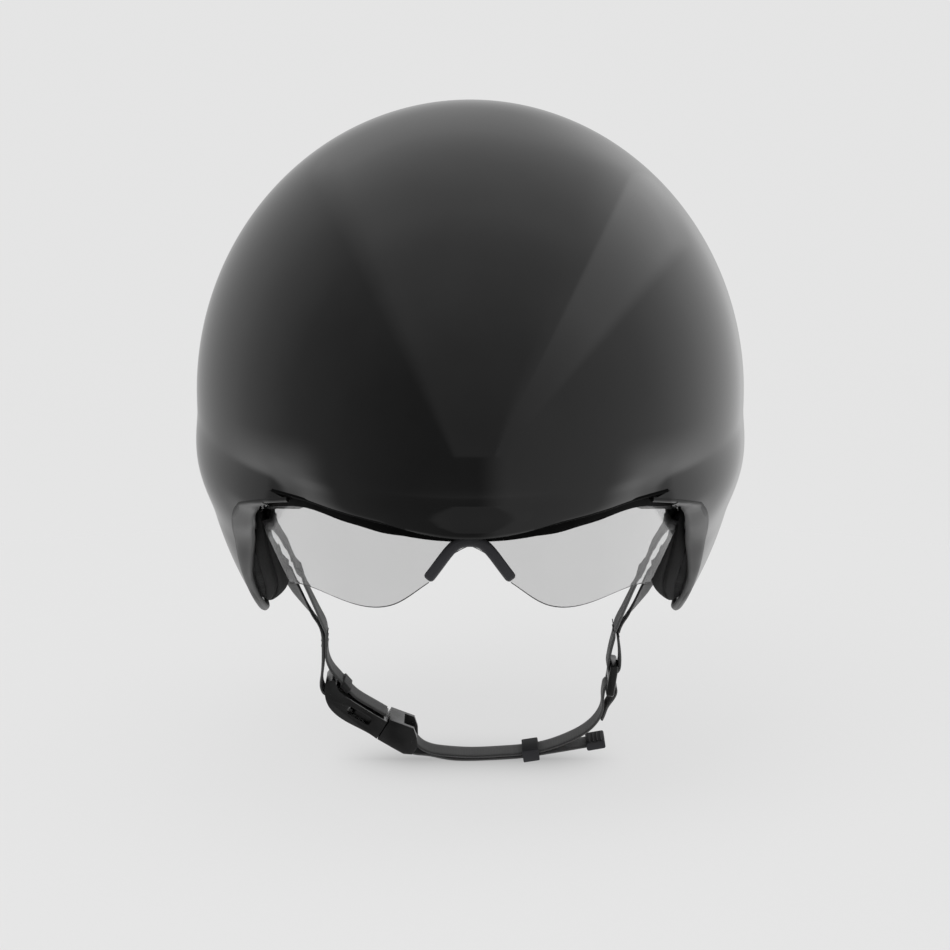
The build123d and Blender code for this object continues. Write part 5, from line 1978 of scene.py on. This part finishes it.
@dataclass
class Stage:
    """The camera, the pale floor and backdrop, and the soft lights."""

    target: Point = (1.85, 0.0, -32.6)
    distance: float = 1400.0
    elevation: float = 10.5
    lens: float = 134.6
    sensor: float = 36.0
    picture: float = 950.0
    backdrop: float = 0.781
    plain_light: float = 0.62
    floor_level: float = -147.3
    floor_rings: tuple[float, ...] = (120, 260, 420, 640, 900, 1300, 1800, 2600)
    floor_sides: int = 64
    floor_fade: Place = (0.35, 1.1)
    floor_glow: float = 0.6865
    floor_tones: Place = (0.088, 0.092)
    # The painted contact shadow in the floor's glow: its centre (x, y), half width and half depth, and
    # darkness
    painted_shadow_centre: Place = (3.0, -3.0)
    painted_shadow_half: Place = (62.0, 70.0)
    painted_shadow_share: float = 0.42
    card_distance: float = 2600.0
    card_steps: tuple[int, int] = (24, 48)
    march_start: float = 400.0
    march_steps: int = 400
    sky: tuple[Place, ...] = ((0.0, 0.15), (0.2, 0.24), (0.4, 0.33), (0.53, 0.38), (0.655, 0.48), (0.8, 0.55),
                              (1.0, 0.50))
    boxes: tuple[SoftBox, ...] = (
        SoftBox("centre_box", ((452, 457), (495, 457), (306, 169), (630, 172)), 63,
                ((-1, 0.33), (-0.75, 0.43), (-0.4, 0.58), (0, 0.70), (0.2, 0.80), (1, 0.72))),
        SoftBox("right_box", ((494, 456), (500, 458), (630, 172), (691, 246)), 25,
                ((-0.96, 0.5), (-0.5, 0.82), (-0.16, 1.09), (0.3, 1.2), (0.6, 1.28), (0.9, 1.1))))

    @property
    def eye(self) -> np.ndarray:
        """Where the camera stands, in millimetres."""
        tilt = math.radians(self.elevation)
        return np.array(self.target) + np.array([0, -math.cos(tilt), math.sin(tilt)]) * self.distance

    def make_camera(self) -> None:
        """Makes the scene's camera at the photograph's angle."""
        data = bpy.data.cameras.new("camera")
        data.lens = self.lens
        data.clip_end = 20
        camera = linked("camera", data)
        camera.location = Vector(self.eye) * MM
        camera.rotation_euler = (math.radians(90 - self.elevation), 0, 0)
        bpy.context.scene.camera = camera

    def mirrored(self, shell: Shell, places: np.ndarray) -> tuple[np.ndarray, np.ndarray]:
        """Finds what the shell mirrors at places of the picture.

        Args:
            shell: The glossy shell.
            places: The places, in picture dots.

        Returns:
            The points where the shell is met, and the directions that they mirror.
        """
        tilt = math.radians(self.elevation)
        focal = self.lens / self.sensor * self.picture
        shift = (places - self.picture / 2) / focal
        ahead = np.array([0, math.cos(tilt), -math.sin(tilt)])
        above = np.array([0, math.sin(tilt), math.cos(tilt)])
        ways = normed(ahead + shift[:, :1] * np.array([1.0, 0, 0]) - shift[:, 1:] * above)

        def gap(far: np.ndarray) -> np.ndarray:
            """Returns how far outside the shell the sight lines are, so far from the camera."""
            return shell.outside(self.eye + ways * far[:, None])

        near = np.full(len(places), self.distance - self.march_start)
        for _ in range(self.march_steps):
            near = np.where(gap(near) > 0.5, near + 1.0, near)
        met = closed_in(near - 1.5, near + 1.5, lambda far: gap(far) > 0)
        spots = self.eye + ways * met[:, None]
        slope = normed(np.stack([shell.outside(spots + step) - shell.outside(spots - step)
                                 for step in np.eye(3) * 0.4], axis=1))
        return spots, ways - 2 * (ways * slope).sum(1)[:, None] * slope

    def make_boxes(self, shell: Shell) -> None:
        """Makes the glowing cards that the shell mirrors.

        Args:
            shell: The glossy shell.
        """
        tree = Tree("card_glow")
        tone = tree.add("Attribute", attribute_name="tone").outputs["Fac"]
        cover = tree.add("Attribute", attribute_name="cover").outputs["Fac"]
        glow = tree.shade(tree.mixed(cover, tree.add("BsdfTransparent"), tree.add("Emission", Strength=tone)))
        wide, tall = self.card_steps
        across, up = (grid.ravel() for grid in np.meshgrid(np.linspace(0, 1, wide), np.linspace(0, 1, tall)))
        faces = [(j * wide + i, j * wide + i + 1, (j + 1) * wide + i + 1, (j + 1) * wide + i)
                 for j in range(tall - 1) for i in range(wide - 1)]
        for box in self.boxes:
            spots, ways = self.mirrored(shell, box.places(across, up))
            card = mesh_piece(box.name, spots + ways * self.card_distance, faces)
            levels = np.array(box.tones, float)
            edge = np.minimum(np.minimum(across, 1 - across) / box.soft, (1 - up) / (box.soft * 0.6))
            for name, values in (("tone", np.interp(ways[:, 1], levels[:, 0], levels[:, 1])),
                                 ("cover", np.clip(edge, 0, 1))):
                layer = card.data.attributes.new(name, "FLOAT", "POINT")
                layer.data.foreach_set("value", values.astype(np.float32))
            card.data.materials.append(glow)
            for ray in ("camera", "diffuse", "transmission", "shadow", "volume_scatter"):
                setattr(card, "visible_" + ray, False)

    def make_world(self) -> None:
        """Makes the backdrop, which the camera and the lens see, the mirrored studio and the plain light."""
        world = bpy.data.worlds.new("studio")
        bpy.context.scene.world = world
        world.use_nodes = True
        tree = Nodes(world.node_tree)
        light = tree.add("Background", Color=(1, 1, 1, 1), Strength=self.plain_light)
        plain = tree.add("Background", Color=(*grey(self.backdrop), 1))
        axes = tree.add("SeparateXYZ", Vector=tree.add("TexCoord").outputs["Generated"])
        studio = tree.stops(tree.ramp(axes.outputs["Y"], -1, 1, 0, 1), self.sky)
        side = tree.ramp(axes.outputs["X"], 0.05, 0.35, 0.0, 0.37, True)
        low = tree.ramp(axes.outputs["Z"], -0.15, -0.30, 0.0, 0.75, True)
        back = tree.ramp(axes.outputs["Y"], -0.25, 0.10, 0.0, 1.0, True)
        away = tree.ramp(axes.outputs["Y"], 0.40, 0.80, 1.0, 0.0, True)
        floor = tree.ramp(axes.outputs["Z"], -0.38, -0.66, 0.0, 0.80, True)
        low = tree.maths("ADD", tree.maths("MULTIPLY", low, tree.maths("MULTIPLY", back, away)), floor)
        tone = tree.maths("ADD", studio, tree.maths("ADD", side, low))
        sky = tree.add("Background", Color=(1, 1, 1, 1), Strength=tone)
        path = tree.add("LightPath")
        seen = tree.maths("MAXIMUM", path.outputs["Is Camera Ray"], path.outputs["Is Transmission Ray"])
        shown = tree.mixed(seen, tree.mixed(path.outputs["Is Glossy Ray"], light, sky), plain)
        tree.join(shown.outputs[0], tree.add("OutputWorld").inputs["Surface"])

    def make_floor(self) -> None:
        """Makes the floor: it keeps the object's shadow, has a painted shadow where the web meets it, and
        fades away.
        """
        sides = self.floor_sides
        points = [(0.0, 0.0, self.floor_level)]
        for radius in self.floor_rings:
            points += [(x, y, self.floor_level) for x, y in round_section(radius, sides)]
        faces = [(0, 1 + i, 1 + (i + 1) % sides) for i in range(sides)]
        for ring in range(len(self.floor_rings) - 1):
            a, b = 1 + ring * sides, 1 + (ring + 1) * sides
            faces += [(a + i, b + i, b + (i + 1) % sides, a + (i + 1) % sides) for i in range(sides)]
        floor = mesh_piece("floor", np.array(points), faces)
        tree = Tree("floor_paper")
        spread = tree.add("VectorMath", operation="LENGTH")
        tree.join(tree.place, spread.inputs[0])
        fade = tree.ramp(spread.outputs["Value"], *self.floor_fade, 0.0, 1.0)
        axes = tree.add("SeparateXYZ", Vector=tree.place)
        # Painted shadow: the floor's glow is darkened round where the chin web meets it
        across, away = (tree.maths("ABSOLUTE", tree.maths("SUBTRACT", axes.outputs[axis], place * MM))
                        for axis, place in zip("XY", self.painted_shadow_centre))
        half_width, half_depth = self.painted_shadow_half
        beside = tree.ramp(across, half_width * 0.35 * MM, half_width * MM, 1.0, 0.0, True)
        deep = tree.maths("POWER", tree.ramp(away, 0.0, half_depth * MM, 1.0, 0.0), 4.0)
        painted_shadow = tree.maths("MULTIPLY", tree.maths("MULTIPLY", beside, deep), self.painted_shadow_share)
        paper = tree.add("BsdfDiffuse", Color=tree.tones(tree.noise(900, 2), *map(grey, self.floor_tones)))
        glow = tree.add("Emission", Color=(1, 1, 1, 1),
                        Strength=tree.maths("MULTIPLY_ADD", painted_shadow, -self.floor_glow, self.floor_glow))
        both = tree.add("AddShader")
        tree.join(paper.outputs[0], both.inputs[0])
        tree.join(glow.outputs[0], both.inputs[1])
        path = tree.add("LightPath")
        hide = tree.maths("MAXIMUM", fade, path.outputs["Is Diffuse Ray"])
        hide = tree.maths("MAXIMUM", hide, path.outputs["Is Glossy Ray"])
        floor.data.materials.append(tree.shade(tree.mixed(hide, both, tree.add("BsdfTransparent"))))

    def make_lamp(self, name: str, place: Point, size: float, power: float) -> None:
        """Makes one soft square lamp that faces the helmet and that gloss doesn't show.

        Args:
            name: The lamp's name.
            place: Where it stands, in millimetres.
            size: Its side in millimetres.
            power: Its power in watts.
        """
        data = bpy.data.lights.new(name, "AREA")
        data.shape = "SQUARE"
        data.size = size * MM
        data.energy = power
        lamp = linked(name, data)
        lamp.location = Vector(place) * MM
        lamp.rotation_euler = (-Vector(place)).to_track_quat("-Z", "Y").to_euler()
        lamp.visible_glossy = False
        lamp.visible_camera = False

    def build(self, shell: Shell) -> None:
        """Makes the whole stage.

        Args:
            shell: The glossy shell, which the cards are set for.
        """
        bpy.context.scene.view_settings.view_transform = "Standard"
        self.make_camera()
        self.make_world()
        self.make_floor()
        self.make_boxes(shell)
        self.make_lamp("key", (-700.0, -900.0, 1700.0), 1400.0, 18.0)
        self.make_lamp("top", (200.0, 300.0, 2100.0), 1600.0, 16.0)
        log.info("stage built")


def dress_frame() -> None:
    """Gives every CAD node its finish."""
    for finish, nodes in NODE_FINISHES.items():
        for node in nodes:
            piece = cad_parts[node]
            for slot in piece.material_slots:
                slot.material = finish.build()
            if not piece.material_slots:
                piece.data.materials.append(finish.build())
        log.info("%s: %d nodes", finish.name, len(nodes))


def main() -> None:
    """Builds the stage and every piece of the helmet."""
    logging.basicConfig(level=logging.INFO, format="%(message)s")
    shell = Shell()
    Stage().build(shell)
    dress_frame()
    shell.build()
    EarCover().build(shell)
    VisorTrim().build()
    for rework in REWORKS:
        rework.build()
    for pad in PADS:
        pad.build()
    straps = Straps()
    straps.build()
    StrapTrim(straps).build()


if __name__ == "__main__":
    main()
